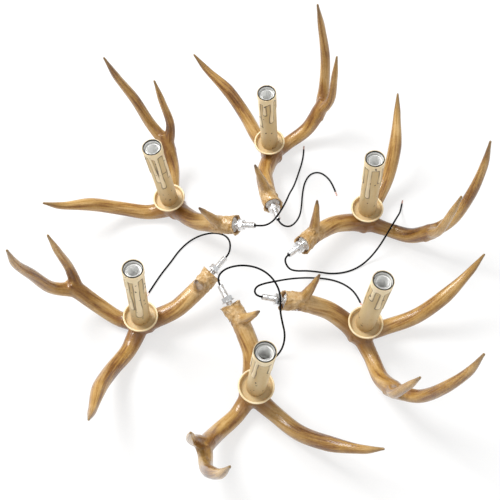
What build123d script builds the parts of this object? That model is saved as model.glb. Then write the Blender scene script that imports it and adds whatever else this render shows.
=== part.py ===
from build123d import *
from math import atan2, ceil, cos, degrees, pi, radians, sin, tan
import os

os.makedirs("parts", exist_ok=True)

# Six cast antler arms of a chandelier, lying loose in a ring with their bases inward.
# Every arm is the same casting. It is drawn once in its own frame: origin on the floor
# under the candle, +X outward along the arm, +Y to its left, +Z up. All sizes are in mm.

# ---- flats: what is cast or turned six times over is drawn with flats, not true circles
BEAM_FLATS = 7
TINE_FLATS = 7
DISH_FLATS = 16
SLEEVE_FLATS = 12
SMALL_FLATS = 10
HOLE_FLATS = 8
CORD_FLATS = 5
CORE_FLATS = 4
BEND_STEP = 60.0  # degrees of bend taken by each straight piece of a lead

# ---- threaded tubes, nuts and washers
TUBE_R = 4.0
ROOT_R = 4.4  # corners of the eight-sided root, which the plug, the washer and the nut go round
TUBE_BORE_R = 2.6
NUT_FLATS = 13.0
NUT_T = 4.8
WASHER_R = 8.0
WASHER_T = 1.6
RUNNING_FIT = 0.05
MOVING_GAP = 0.1
NUT_CLEAR = 0.2

# ---- base of the antler: burr, pocket, plug, tube
BASE_CENTRE = Vector(-89.5, -53.3, 51.9)
BASE_OUTWARD = Vector(-0.69, -0.65, 0.30).normalized()
BURR_R = 15.0
POCKET_R = 9.6
POCKET_DEPTH = 22.0
PLUG_RECESS = 3.0
PLUG_T = 12.0
TUBE_PROJECTION = 25.9
WASHER_STANDOFF = 3.4

# ---- candle: boss, dish, stem, lamp holder, sleeve
BOSS_R = 10.5
BOSS_TOP = 41.0
BOSS_FOOT = 18.0
BOSS_FOOT_R = 14.0
STEM_SOCKET_DEPTH = 14.0
DISH_R = 21.5
DISH_FOOT_R = 16.5
DISH_H = 7.1
DISH_FLOOR_T = 2.4
DISH_LIP = 2.0
DISH_WALL = 2.2
CUP_FLOOR_R = 17.6
SLEEVE_R = 12.5
SLEEVE_WALL = 1.3
SLEEVE_H = 120.0
LINER_WALL = 0.8
LINER_PROUD = 0.7
HOLDER_GAP = 0.8
HOLDER_H = 54.0
HOLDER_BELOW_TOP = 4.5
HOLDER_FLOOR_T = 10.0
SHELL_R = 7.6
SHELL_BORE_R = 7.0
SHELL_DEPTH = 22.0
SHELL_PROUD = 1.0
CONTACT_DEPTH = 8.0
TONGUE_W = 5.0
TONGUE_T = 0.8
TONGUE_RISE = 6.0
TONGUE_REACH = 5.0

# wax runs down the sleeve: the flat that each is on, its width and its length
WAX_RUNS = ((0, 4.6, 62.0), (3, 3.4, 34.0), (6, 4.2, 46.0), (11, 3.8, 72.0))
WAX_TOP_GAP = 6.0
WAX_PROUD = 0.9

# ---- leads
LEAD_R = 1.2
LEAD_STRAIGHT_OUT = 6.0
BEND_SHARE = 0.45
CORE_R = 0.5
CORE_SPACING = 1.1
CORE_LENGTH = 7.0

# ---- limbs of the antler: points on the centre line with the radius there
BEAM = (
    (BASE_CENTRE, BURR_R),
    (BASE_CENTRE - BASE_OUTWARD * 5.0, 13.2),
    (Vector(-77.5, -40.0, 48.5), 13.0),
    (Vector(-62.5, -27.5, 42.0), 12.3),
    (Vector(-43.5, -14.5, 33.5), 12.1),
    (Vector(-21.0, -8.0, 24.5), 12.6),
    (Vector(1.0, -4.5, 17.0), 15.4),
    (Vector(16.0, -2.0, 14.0), 11.0),
)
LEFT_TINE = (
    (Vector(-8.0, -17.0, 19.0), 9.0),
    (Vector(6.0, 7.0, 15.5), 12.0),
    (Vector(18.0, 31.0, 13.0), 10.4),
    (Vector(35.5, 60.5, 27.0), 10.0),
    (Vector(46.0, 91.5, 52.0), 9.4),
    (Vector(50.0, 126.0, 76.0), 5.4),
    (Vector(50.5, 146.0, 101.0), 1.6),
)
BRANCH = (
    (Vector(-14.0, 2.0, 20.0), 9.5),
    (Vector(7.0, -6.0, 15.0), 11.8),
    (Vector(30.0, -15.0, 12.0), 10.2),
    (Vector(56.5, -31.0, 22.0), 10.6),
    (Vector(77.5, -39.5, 45.5), 11.4),
    (Vector(88.0, -41.0, 60.0), 8.4),
)
LONG_TINE = (
    (Vector(70.0, -42.0, 35.0), 8.0),
    (Vector(88.0, -38.0, 51.0), 9.2),
    (Vector(106.5, -32.5, 70.0), 8.0),
    (Vector(119.0, -26.0, 113.0), 7.0),
    (Vector(127.0, -15.0, 157.5), 5.3),
    (Vector(127.0, -7.5, 200.0), 1.6),
)
SHORT_TINE = (
    (Vector(73.0, -36.0, 38.0), 7.4),
    (Vector(79.5, -46.5, 57.0), 8.0),
    (Vector(84.0, -54.0, 79.5), 6.2),
    (Vector(91.0, -53.5, 119.0), 4.8),
    (Vector(96.0, -52.5, 156.0), 1.6),
)
BROW_TINE = (
    (Vector(-75.0, -38.0, 46.0), 9.4),
    (Vector(-71.5, -29.0, 66.0), 6.6),
    (Vector(-69.5, -21.5, 86.0), 4.2),
    (Vector(-68.5, -16.0, 102.0), 1.6),
)

# ---- where the arms lie: place on the floor, heading, roll and pitch of each arm
ARMS = {
    "a": (30.0, 159.0, 61.3, 1.1, -8.6),
    "b": (158.5, 41.5, 1.1, 4.2, -3.4),
    "c": (138.5, -128.5, 315.1, 1.3, 3.6),
    "d": (4.0, -209.5, 257.1, -4.8, 3.1),
    "e": (-136.0, -120.5, 184.2, -0.7, -2.9),
    "f": (-104.5, 56.5, 121.4, -6.1, -1.1),
}
# routes of the leads after they have left the tube, down to the floor and along it
LEAD_ROUTES = {
    "a": (
        (46, 13, 38), (55, 18, 31), (63, 32, 22), (69, 50, 11), (72, 70, 3), (74, 92, 1.2),
        (78, 113, 1.2), (87, 128, 1.2), (100, 131, 1.2), (111, 122, 1.2), (118, 108, 1.2),
        (121, 96, 1.2),
    ),
    "b": (
        (44.5, -46, 45), (50, -52, 38), (60, -49, 28), (74, -41, 15), (90, -37, 5),
        (107, -38, 1.3), (126, -36, 1.2), (143, -29, 1.2), (158, -18, 4), (171, -6, 15),
        (182, 9, 25), (192, 25, 28), (200, 40, 22), (206, 53, 10), (210, 64, 2.4), (213, 75, 1.3),
    ),
    "c": (
        (5, -100, 67), (8, -91, 64), (18, -83, 57), (32, -74, 46), (48, -63, 32),
        (64, -53, 17), (81, -46, 5), (99, -45, 1.2), (115, -49, 1.2), (129, -57, 1.2),
        (139, -69, 1.2), (143, -81, 1.2),
    ),
    "d": (
        (-37, -80, 76), (-27, -72, 77), (-9, -68, 76.5), (10, -71, 75), (25, -81, 73),
        (34, -95, 70), (37, -109, 68), (36, -121, 60), (39, -131, 47), (43, -140, 31),
        (41, -149, 15), (34, -156, 4), (26, -161, 1.4), (18, -165, 1.3),
    ),
    "e": (
        (-25, -29, 53), (-26, -15, 46), (-31, -1, 36), (-40, 11, 24), (-53, 19, 13),
        (-68, 20, 5), (-83, 13, 1.3), (-96, -2, 1.2), (-106, -20, 1.2), (-117, -37, 1.2),
        (-126, -54, 1.2), (-132, -66, 1.2),
    ),
    "f": (
        (20, -3, 65), (29, 6, 60), (36, 19, 55), (43, 34, 51), (49, 50, 46), (54, 70, 34),
        (60, 90, 19), (65, 110, 7), (70, 129, 1.6), (75, 146, 1.2), (78, 161, 1.2),
        (79, 172, 1.2),
    ),
}
SLEEVE_TURN = {"a": 20.0, "b": 250.0, "c": 300.0, "d": 10.0, "e": 90.0, "f": 150.0}

# ---- values that follow from the ones above
SEAT_Z = BOSS_TOP + DISH_FLOOR_T
SLEEVE_Z = SEAT_Z + MOVING_GAP
SLEEVE_TOP = SLEEVE_Z + SLEEVE_H
SLEEVE_BORE_R = SLEEVE_R - SLEEVE_WALL
LINER_BORE_R = SLEEVE_BORE_R - LINER_WALL
HOLDER_R = LINER_BORE_R - HOLDER_GAP
HOLDER_TOP = SLEEVE_TOP - HOLDER_BELOW_TOP
HOLDER_Z = HOLDER_TOP - HOLDER_H
SHELL_TOP = HOLDER_TOP + SHELL_PROUD
SHELL_Z = SHELL_TOP - SHELL_DEPTH
CONTACT_Z = SHELL_Z - CONTACT_DEPTH
STEM_Z = BOSS_TOP - STEM_SOCKET_DEPTH
STEM_TOP = HOLDER_Z + HOLDER_FLOOR_T
NUT_Z = WASHER_STANDOFF + WASHER_T + MOVING_GAP
THREAD_Z = NUT_Z + NUT_T + NUT_CLEAR
PLUG_Z = -PLUG_RECESS - PLUG_T

# the base fittings stand on this plane: its origin is the middle of the cut end face
BASE = Plane(origin=BASE_CENTRE, z_dir=BASE_OUTWARD)


def faceted(rings_along, flats):
    """A solid round a centre line: a ring of corners at each point, joined by flat facets."""
    points = [point for point, _ in rings_along]
    steps = [b - a for a, b in zip(points, points[1:])]
    before = [steps[0]] + steps
    after = steps + [steps[-1]]
    along = [(a.normalized() + b.normalized()).normalized() for a, b in zip(before, after)]
    side = Plane(origin=points[0], z_dir=along[0]).x_dir
    rings = []
    for (point, radius), direction in zip(rings_along, along):
        side = (side - direction * side.dot(direction)).normalized()
        ring = Plane(origin=point, x_dir=side, z_dir=direction)
        turns = [2 * pi * k / flats for k in range(flats)]
        rings.append([ring.from_local_coords((radius * cos(t), radius * sin(t), 0)) for t in turns])
    faces = [Face(Wire.make_polygon(rings[0])), Face(Wire.make_polygon(rings[-1]))]
    for low, high in zip(rings, rings[1:]):
        for k in range(flats):
            m = (k + 1) % flats
            faces.append(Face(Wire.make_polygon([low[k], low[m], high[m]])))
            faces.append(Face(Wire.make_polygon([low[k], high[m], high[k]])))
    return Solid(Shell(faces))


def flat_circle(radius, flats, mode=Mode.ADD):
    """A many-sided outline whose flats lie on the circle of this radius."""
    return RegularPolygon(radius, flats, major_radius=False, mode=mode)


def turned(profile, flats):
    """A solid round the candle's axis, from heights and the radii of its flats there."""
    return faceted([(Vector(0, 0, z), r / cos(pi / flats)) for z, r in profile], flats)


# ==== the pieces, drawn once in the arm's frame ====

with BuildPart() as casting:
    for limb, flats in (
        (BEAM, BEAM_FLATS),
        (LEFT_TINE, TINE_FLATS),
        (BRANCH, BEAM_FLATS),
        (LONG_TINE, TINE_FLATS),
        (SHORT_TINE, TINE_FLATS),
        (BROW_TINE, TINE_FLATS),
    ):
        add(faceted(limb, flats))
    # the boss under the dish narrows upward from the fork
    with BuildSketch(Plane.XY.offset(BOSS_FOOT)):
        flat_circle(BOSS_FOOT_R, SMALL_FLATS)
    boss_rise = BOSS_TOP - BOSS_FOOT
    extrude(amount=boss_rise, taper=degrees(atan2(BOSS_FOOT_R - BOSS_R, boss_rise)))
    # the socket for the stem, and the pocket in the cut end of the beam
    with BuildSketch(Plane.XY.offset(STEM_Z)):
        flat_circle(TUBE_R, HOLE_FLATS)
    extrude(amount=STEM_SOCKET_DEPTH, mode=Mode.SUBTRACT)
    with BuildSketch(BASE.offset(-POCKET_DEPTH)):
        flat_circle(POCKET_R, SMALL_FLATS)
    extrude(amount=POCKET_DEPTH + BURR_R, mode=Mode.SUBTRACT)

with BuildPart() as plug:
    with BuildSketch(BASE.offset(PLUG_Z)):
        flat_circle(POCKET_R, SMALL_FLATS)
        RegularPolygon(ROOT_R, HOLE_FLATS, mode=Mode.SUBTRACT)
    extrude(amount=PLUG_T)

# the tube has a stout root, and beyond the nut the round end that a hub takes
with BuildPart() as arm_tube:
    with BuildSketch(BASE.offset(PLUG_Z)):
        RegularPolygon(ROOT_R, HOLE_FLATS)
        flat_circle(TUBE_BORE_R, CORD_FLATS, mode=Mode.SUBTRACT)
    extrude(amount=THREAD_Z - PLUG_Z)
    with BuildSketch(BASE.offset(THREAD_Z)):
        Circle(TUBE_R)
        flat_circle(TUBE_BORE_R, CORD_FLATS, mode=Mode.SUBTRACT)
    extrude(amount=TUBE_PROJECTION - THREAD_Z)

with BuildPart() as washer:
    with BuildSketch(BASE.offset(WASHER_STANDOFF)):
        flat_circle(WASHER_R, SMALL_FLATS)
        RegularPolygon(ROOT_R, HOLE_FLATS, mode=Mode.SUBTRACT)
    extrude(amount=WASHER_T)

with BuildPart() as nut:
    with BuildSketch(BASE.offset(NUT_Z)):
        RegularPolygon(NUT_FLATS / 2, 6, major_radius=False)
        flat_circle(ROOT_R + RUNNING_FIT, HOLE_FLATS, mode=Mode.SUBTRACT)
    extrude(amount=NUT_T)

with BuildPart() as inner_lead:
    with BuildSketch(BASE.offset(-POCKET_DEPTH)):
        RegularPolygon(LEAD_R, CORD_FLATS)
    extrude(amount=POCKET_DEPTH + TUBE_PROJECTION)

with BuildPart() as dish:
    dish_top = BOSS_TOP + DISH_H
    add(turned(((BOSS_TOP, DISH_FOOT_R), (dish_top - DISH_LIP, DISH_R), (dish_top, DISH_R)), DISH_FLATS))
    # the cup inside, down to the floor, and the hole for the stem
    cup = ((SEAT_Z, CUP_FLOOR_R), (dish_top, DISH_R - DISH_WALL))
    add(turned(cup, DISH_FLATS), mode=Mode.SUBTRACT)
    with BuildSketch(Plane.XY.offset(BOSS_TOP)):
        flat_circle(TUBE_R, HOLE_FLATS)
    extrude(amount=DISH_H, mode=Mode.SUBTRACT)

with BuildPart() as stem:
    with BuildSketch(Plane.XY.offset(STEM_Z)):
        flat_circle(TUBE_R, HOLE_FLATS)
        flat_circle(TUBE_BORE_R, CORD_FLATS, mode=Mode.SUBTRACT)
    extrude(amount=STEM_TOP - STEM_Z)

with BuildPart() as stem_nut:
    with BuildSketch(Plane.XY.offset(SEAT_Z)):
        RegularPolygon(NUT_FLATS / 2, 6, major_radius=False)
        flat_circle(TUBE_R, HOLE_FLATS, mode=Mode.SUBTRACT)
    extrude(amount=NUT_T)

with BuildPart() as holder:
    with BuildSketch(Plane.XY.offset(HOLDER_Z)):
        flat_circle(HOLDER_R, SMALL_FLATS)
    extrude(amount=HOLDER_H)
    with BuildSketch(Plane.XY.offset(HOLDER_Z)):
        flat_circle(TUBE_R, HOLE_FLATS)
    extrude(amount=HOLDER_FLOOR_T, mode=Mode.SUBTRACT)
    with BuildSketch(Plane.XY.offset(CONTACT_Z)):
        flat_circle(SHELL_R, SMALL_FLATS)
    extrude(amount=SHELL_TOP - CONTACT_Z, mode=Mode.SUBTRACT)

with BuildPart() as shell:
    with BuildSketch(Plane.XY.offset(SHELL_Z)):
        flat_circle(SHELL_R, SMALL_FLATS)
        Circle(SHELL_BORE_R, mode=Mode.SUBTRACT)
    extrude(amount=SHELL_DEPTH)

with BuildPart() as tongue:
    with BuildSketch(Plane.XZ):
        with BuildLine():
            Polyline(
                (-TONGUE_REACH, CONTACT_Z),
                (0, CONTACT_Z),
                (0, CONTACT_Z + TONGUE_T),
                (-TONGUE_REACH + TONGUE_T, CONTACT_Z + TONGUE_T),
                (TONGUE_T, CONTACT_Z + TONGUE_RISE),
                (0, CONTACT_Z + TONGUE_RISE),
                (-TONGUE_REACH, CONTACT_Z + TONGUE_T),
                close=True,
            )
        make_face()
    extrude(amount=TONGUE_W / 2, both=True)

with BuildPart() as sleeve:
    with BuildSketch(Plane.XY.offset(SLEEVE_Z)):
        flat_circle(SLEEVE_R, SLEEVE_FLATS)
    extrude(amount=SLEEVE_H)
    # wax that ran down from the top and set, each run on one flat
    for flat, width, length in WAX_RUNS:
        turn = radians(360 / SLEEVE_FLATS * (flat + 0.5))
        outward = Vector(cos(turn), sin(turn), 0)
        run = Plane(origin=outward * SLEEVE_BORE_R + Vector(0, 0, SLEEVE_TOP - WAX_TOP_GAP),
                    x_dir=(-sin(turn), cos(turn), 0), z_dir=outward)
        with BuildSketch(run):
            with BuildLine():
                Polyline(
                    (-width / 2, 0),
                    (width / 2, 0),
                    (width / 2, -length + width),
                    (width / 4, -length),
                    (-width / 4, -length),
                    (-width / 2, -length + width),
                    close=True,
                )
            make_face()
        extrude(amount=SLEEVE_WALL + WAX_PROUD)
    with BuildSketch(Plane.XY.offset(SLEEVE_Z)):
        flat_circle(SLEEVE_BORE_R, SLEEVE_FLATS)
    extrude(amount=SLEEVE_H, mode=Mode.SUBTRACT)

with BuildPart() as liner:
    with BuildSketch(Plane.XY.offset(SLEEVE_Z)):
        flat_circle(SLEEVE_BORE_R, SLEEVE_FLATS)
        flat_circle(LINER_BORE_R, SLEEVE_FLATS, mode=Mode.SUBTRACT)
    extrude(amount=SLEEVE_H + LINER_PROUD)


# ==== the arms where they lie: each is let down until it touches the floor ====

def lie(x, y, heading, roll, pitch):
    """The place of one arm: leaned, turned to its heading and let down onto z = 0."""
    lean = Rot(0, 0, heading) * Rot(0, pitch, 0) * Rot(roll, 0, 0)
    lowest = casting.part.moved(lean).bounding_box().min.Z
    return Pos(x, y, -lowest) * lean


lying = {name: lie(*arm) for name, arm in ARMS.items()}

# the origin is on the floor, in the middle of the box round the six arms
around = Compound(children=[casting.part.moved(place) for place in lying.values()]).bounding_box()
middle = Pos(-around.center().X, -around.center().Y, 0)
places = {name: middle * place for name, place in lying.items()}

OWN_PIECES = {
    "antler": casting,
    "drip_pan": dish,
    "lamp_holder": holder,
    "hex_nut": nut,
}
for piece, drawn in OWN_PIECES.items():
    for name, place in places.items():
        with BuildPart() as placed:
            add(drawn.part.moved(place))
        placed.part.label = f"{piece}_{name}"
        export_step(placed.part, f"parts/{piece}_{name}.step")

# the sleeves and their liners also stand turned about the candle, each its own way
for piece, drawn in {"candle_sleeve": sleeve, "sleeve_liner": liner}.items():
    for name, place in places.items():
        with BuildPart() as placed:
            add(drawn.part.moved(place * Rot(0, 0, SLEEVE_TURN[name])))
        placed.part.label = f"{piece}_{name}"
        export_step(placed.part, f"parts/{piece}_{name}.step")

# small pieces that are alike share one node, one solid for each arm
SHARED_PIECES = {
    "base_plugs": plug,
    "arm_nipples": arm_tube,
    "washers": washer,
    "inner_leads": inner_lead,
    "stem_nipples": stem,
    "stem_nuts": stem_nut,
    "screw_shells": shell,
    "centre_contacts": tongue,
}
for piece, drawn in SHARED_PIECES.items():
    with BuildPart() as group:
        for place in places.values():
            add(drawn.part.moved(place))
    group.part.label = piece
    export_step(group.part, f"parts/{piece}.step")


# ==== the leads: each leaves its tube straight, then bends down to the floor ====

def corner_radii(points):
    """The arc at each corner takes its share of the shorter run beside it."""
    radii = []
    for a, b, c in zip(points, points[1:], points[2:]):
        half_turn = radians((b - a).get_angle(c - b)) / 2
        radii.append(BEND_SHARE * min((b - a).length, (c - b).length) / tan(half_turn))
    return radii


def chords(path):
    """The path as short straight pieces: its straight runs, and its arcs in equal steps."""
    points = [path @ 0]
    for edge in path.edges():
        turn = (edge % 0).get_angle(edge % 1)
        steps = max(1, ceil(turn / BEND_STEP))
        points.extend(edge @ (k / steps) for k in range(1, steps + 1))
    return points


cores = []
for name, place in places.items():
    exit_plane = Plane(place * BASE.offset(TUBE_PROJECTION).location)
    leave = exit_plane.offset(LEAD_STRAIGHT_OUT).origin
    route = [exit_plane.origin, leave]
    route += [(middle * Pos(*point)).position for point in LEAD_ROUTES[name]]
    radii = corner_radii(route)
    path = FilletPolyline(*route, radius=radii)
    along = chords(path.wire())
    with BuildPart() as lead:
        add(faceted([(point, LEAD_R) for point in along], CORD_FLATS))
    lead.part.label = f"lead_{name}"
    export_step(lead.part, f"parts/lead_{name}.step")
    section = CORD_FLATS / 2 * LEAD_R ** 2 * sin(2 * pi / CORD_FLATS)
    ratio = lead.part.volume / (section * path.length)
    print(f"lead {name}: {path.length:.0f} mm long, radii {min(radii):.1f} to {max(radii):.0f}, "
          f"volume {ratio:.3f} of section by length")
    end = Plane(origin=along[-1], z_dir=along[-1] - along[-2])
    with BuildPart() as core_pair:
        with BuildSketch(end):
            with GridLocations(CORE_SPACING, 0, 2, 1):
                RegularPolygon(CORE_R, CORE_FLATS)
        extrude(amount=CORE_LENGTH)
    cores.append(core_pair.part)

with BuildPart() as group:
    for pair in cores:
        add(pair)
group.part.label = "lead_tips"
export_step(group.part, "parts/lead_tips.step")
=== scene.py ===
"""Six cast antler arms of a chandelier, lying loose in a ring on a pale floor.

Every arm is the same casting with the same fittings. Each piece is modelled once in
the arm's own frame (origin on the floor under the candle, +X outward along the arm,
+Z up) and then laid down at the places where the arms lie. Lengths are in metres,
and the tables of the casting, which are in millimetres, say so.
"""
import logging
import math
from collections.abc import Iterable, Iterator, Sequence
from dataclasses import dataclass, field
from enum import Enum

import bmesh
import bpy
import numpy as np
from mathutils import Matrix, Vector, noise


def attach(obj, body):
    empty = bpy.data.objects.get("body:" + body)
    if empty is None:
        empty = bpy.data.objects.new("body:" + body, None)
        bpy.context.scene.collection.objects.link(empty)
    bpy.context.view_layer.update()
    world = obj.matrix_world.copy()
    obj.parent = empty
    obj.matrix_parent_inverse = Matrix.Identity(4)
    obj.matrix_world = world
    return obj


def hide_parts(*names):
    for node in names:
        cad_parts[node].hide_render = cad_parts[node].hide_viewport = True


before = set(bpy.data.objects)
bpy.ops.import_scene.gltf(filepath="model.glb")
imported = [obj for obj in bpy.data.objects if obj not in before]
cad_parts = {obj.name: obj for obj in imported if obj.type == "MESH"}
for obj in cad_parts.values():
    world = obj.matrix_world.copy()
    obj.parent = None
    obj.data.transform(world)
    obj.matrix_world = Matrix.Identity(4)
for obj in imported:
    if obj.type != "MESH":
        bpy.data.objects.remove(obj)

logging.basicConfig(level=logging.INFO, format="%(message)s")
log = logging.getLogger("antler_arms")

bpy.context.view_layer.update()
MM = 0.001
FULL_TURN = 2 * math.pi
TINY = 1e-6  # points nearer than this are one point; keeps a quotient finite, too
LEAST = 1e-9  # keeps a sum of weights above zero

Pair = tuple[float, float]
Point = tuple[float, float, float]
Colour = tuple[float, float, float]
Station = tuple[Point, float]
Profile = Sequence[Pair]
Socket = bpy.types.NodeSocket


# ---------------------------------------------------------------- places

@dataclass(frozen=True)
class ArmPlace:
    """Where one arm lies, as the CAD model lays it.

    Attributes:
        name: The arm's letter, which ends its nodes' names.
        at: The place of the arm's origin.
        heading: Turn about the vertical, in degrees.
        roll: Roll about the arm's own length, in degrees.
        pitch: Pitch about the arm's own cross axis, in degrees.
    """

    name: str
    at: Point
    heading: float
    roll: float
    pitch: float

    def matrix(self) -> Matrix:
        """Works out where the arm lies.

        Returns:
            The transform from the arm's frame to the floor's frame.
        """
        turn = Matrix.Rotation(math.radians(self.heading), 4, "Z")
        tip = Matrix.Rotation(math.radians(self.pitch), 4, "Y")
        roll = Matrix.Rotation(math.radians(self.roll), 4, "X")
        return Matrix.Translation(self.at) @ turn @ tip @ roll


PLACES = (
    ArmPlace("a", (0.021299, 0.202633, -0.003004), 61.3, 1.1, -8.6),
    ArmPlace("b", (0.149799, 0.085133, -0.002545), 1.1, 4.2, -3.4),
    ArmPlace("c", (0.129799, -0.084867, 0.000191), 315.1, 1.3, 3.6),
    ArmPlace("d", (-0.004701, -0.165867, 0.000729), 257.1, -4.8, 3.1),
    ArmPlace("e", (-0.144701, -0.076867, -0.00341), 184.2, -0.7, -2.9),
    ArmPlace("f", (-0.113201, 0.100133, 0.00027), 121.4, -6.1, -1.1),
)


# ---------------------------------------------------------------- mesh helpers

def mesh_of(bm: bmesh.types.BMesh, name: str, crease: float = 35.0) -> bpy.types.Mesh:
    """Ends a bmesh as a smooth-shaded mesh.

    Args:
        bm: The bmesh, which is freed.
        name: The mesh's name.
        crease: Edges sharper than this angle, in degrees, stay sharp.

    Returns:
        The new mesh.
    """
    for face in bm.faces:
        face.smooth = True
    mesh = bpy.data.meshes.new(name)
    bm.to_mesh(mesh)
    bm.free()
    mesh.set_sharp_from_angle(angle=math.radians(crease))
    return mesh


def object_of(data: bpy.types.ID, name: str) -> bpy.types.Object:
    """Returns a new object in the scene that holds this mesh, curve, camera or lamp."""
    piece = bpy.data.objects.new(name, data)
    bpy.context.collection.objects.link(piece)
    return piece


def bake(piece: bpy.types.Object, name: str) -> bpy.types.Mesh:
    """Applies a work object's modifiers and removes it.

    Args:
        piece: The work object.
        name: The new mesh's name.

    Returns:
        The mesh with the modifiers in it.
    """
    graph = bpy.context.evaluated_depsgraph_get()
    mesh = bpy.data.meshes.new_from_object(piece.evaluated_get(graph), depsgraph=graph)
    mesh.name = name
    bpy.data.objects.remove(piece)
    return mesh


def laid(mesh: bpy.types.Mesh, places: Iterable[Matrix], name: str) -> bpy.types.Object:
    """Lays copies of a mesh as one object.

    Args:
        mesh: The mesh.
        places: The place of each copy.
        name: The object's name.

    Returns:
        The object, whose own place is the origin.
    """
    bm = bmesh.new()
    for matrix in places:
        before = len(bm.verts)
        bm.from_mesh(mesh)
        bm.verts.ensure_lookup_table()
        bmesh.ops.transform(bm, matrix=matrix, verts=bm.verts[before:])
    joined = bpy.data.meshes.new(name)
    bm.to_mesh(joined)
    bm.free()
    return object_of(joined, name)


def turned(bm: bmesh.types.BMesh, profile: Profile, segments: int, closed: bool = True) -> None:
    """Spins a profile about the vertical axis.

    Args:
        bm: The bmesh that takes the faces.
        profile: Radius and height of each point of the profile.
        segments: Steps of the full turn.
        closed: Whether the profile's last point joins its first.
    """
    verts = [bm.verts.new((radius, 0.0, height)) for radius, height in profile]
    pairs = list(zip(verts, verts[1:]))
    if closed:
        pairs.append((verts[-1], verts[0]))
    edges = [bm.edges.new(pair) for pair in pairs]
    bmesh.ops.spin(
        bm, geom=verts + edges, cent=(0, 0, 0), axis=(0, 0, 1), dvec=(0, 0, 0),
        angle=FULL_TURN, steps=segments, use_merge=True, use_duplicate=False,
    )
    bmesh.ops.remove_doubles(bm, verts=bm.verts, dist=TINY)
    bmesh.ops.recalc_face_normals(bm, faces=bm.faces)


def lathed(name: str, profile: Profile, segments: int, crease: float = 50.0) -> bpy.types.Mesh:
    """Makes a mesh that is only turned.

    Args:
        name: The mesh's name.
        profile: Radius and height of each point of the closed profile.
        segments: Steps of the full turn.
        crease: Edges sharper than this angle, in degrees, stay sharp.

    Returns:
        The mesh.
    """
    bm = bmesh.new()
    turned(bm, profile, segments)
    return mesh_of(bm, name, crease)


def rounded(corners: Profile, size: float, steps: int = 2) -> list[Pair]:
    """Rounds every corner of a closed profile.

    Args:
        corners: The corners, as radius and height.
        size: How far each corner is cut back along its two sides.
        steps: Points less one on each rounded corner.

    Returns:
        The profile with its corners rounded.
    """
    most = 0.45  # share of a side that one corner may take
    out: list[Pair] = []
    count = len(corners)
    for k in range(count):
        here = Vector(corners[k])
        before = Vector(corners[k - 1]) - here
        after = Vector(corners[(k + 1) % count]) - here
        cut = min(size, before.length * most, after.length * most)
        start = here + before.normalized() * cut
        end = here + after.normalized() * cut
        for step in range(steps + 1):
            t = step / steps
            spot = start * (1 - t) ** 2 + here * 2 * t * (1 - t) + end * t ** 2
            out.append((spot.x, spot.y))
    return out


def polar(vert: bmesh.types.BMVert | bpy.types.MeshVertex) -> Pair:
    """Returns a point's distance from the vertical axis and its turn about it, in radians."""
    return math.hypot(vert.co.x, vert.co.y), math.atan2(vert.co.y, vert.co.x)


def widen(vert: bmesh.types.BMVert, share: float) -> None:
    """Moves a point away from the vertical axis, to a share of its distance from it."""
    vert.co.x *= share
    vert.co.y *= share


def ring_noise(angle: float, loop: float, third: float, seed: float = 0.0) -> float:
    """Returns a noise that closes on itself round the vertical axis.

    Args:
        angle: Turn about the axis, in radians.
        loop: Radius of the loop in the noise; more gives more waves.
        third: The noise's third coordinate.
        seed: Shift of the loop.

    Returns:
        The noise, from -1 to 1.
    """
    return noise.noise(Vector((math.cos(angle) * loop + seed, math.sin(angle) * loop, third)))


def smoothstep(low: float, high: float, value: float) -> float:
    """Returns 0 below low and 1 above high, with a smooth rise between."""
    t = min(1.0, max(0.0, (value - low) / (high - low)))
    return t * t * (3 - 2 * t)


def framed(side: Vector, cross: Vector, along: Vector, at: Vector) -> Matrix:
    """Makes a frame.

    Args:
        side: Its X axis.
        cross: Its Y axis.
        along: Its Z axis.
        at: Its origin.

    Returns:
        The frame's matrix.
    """
    return Matrix((
        (side.x, cross.x, along.x, at.x), (side.y, cross.y, along.y, at.y),
        (side.z, cross.z, along.z, at.z), (0, 0, 0, 1),
    ))


def new_verts(grown: Iterable[object]) -> list[bmesh.types.BMVert]:
    """Returns the vertices in what a bmesh operator has made."""
    return [g for g in grown if isinstance(g, bmesh.types.BMVert)]


def paint(mesh: bpy.types.Mesh, name: str, values: Sequence[Sequence[float]]) -> None:
    """Stores one colour for each vertex, which the finishes read.

    Args:
        mesh: The mesh.
        name: The attribute's name.
        values: Three numbers for each vertex.
    """
    layer = mesh.attributes.new(name, "FLOAT_COLOR", "POINT")
    flat = np.ones((len(mesh.vertices), 4), dtype=np.float32)
    flat[:, :3] = np.asarray(values, dtype=np.float32)
    layer.data.foreach_set("color", flat.ravel())


# ---------------------------------------------------------------- finishes

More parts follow.
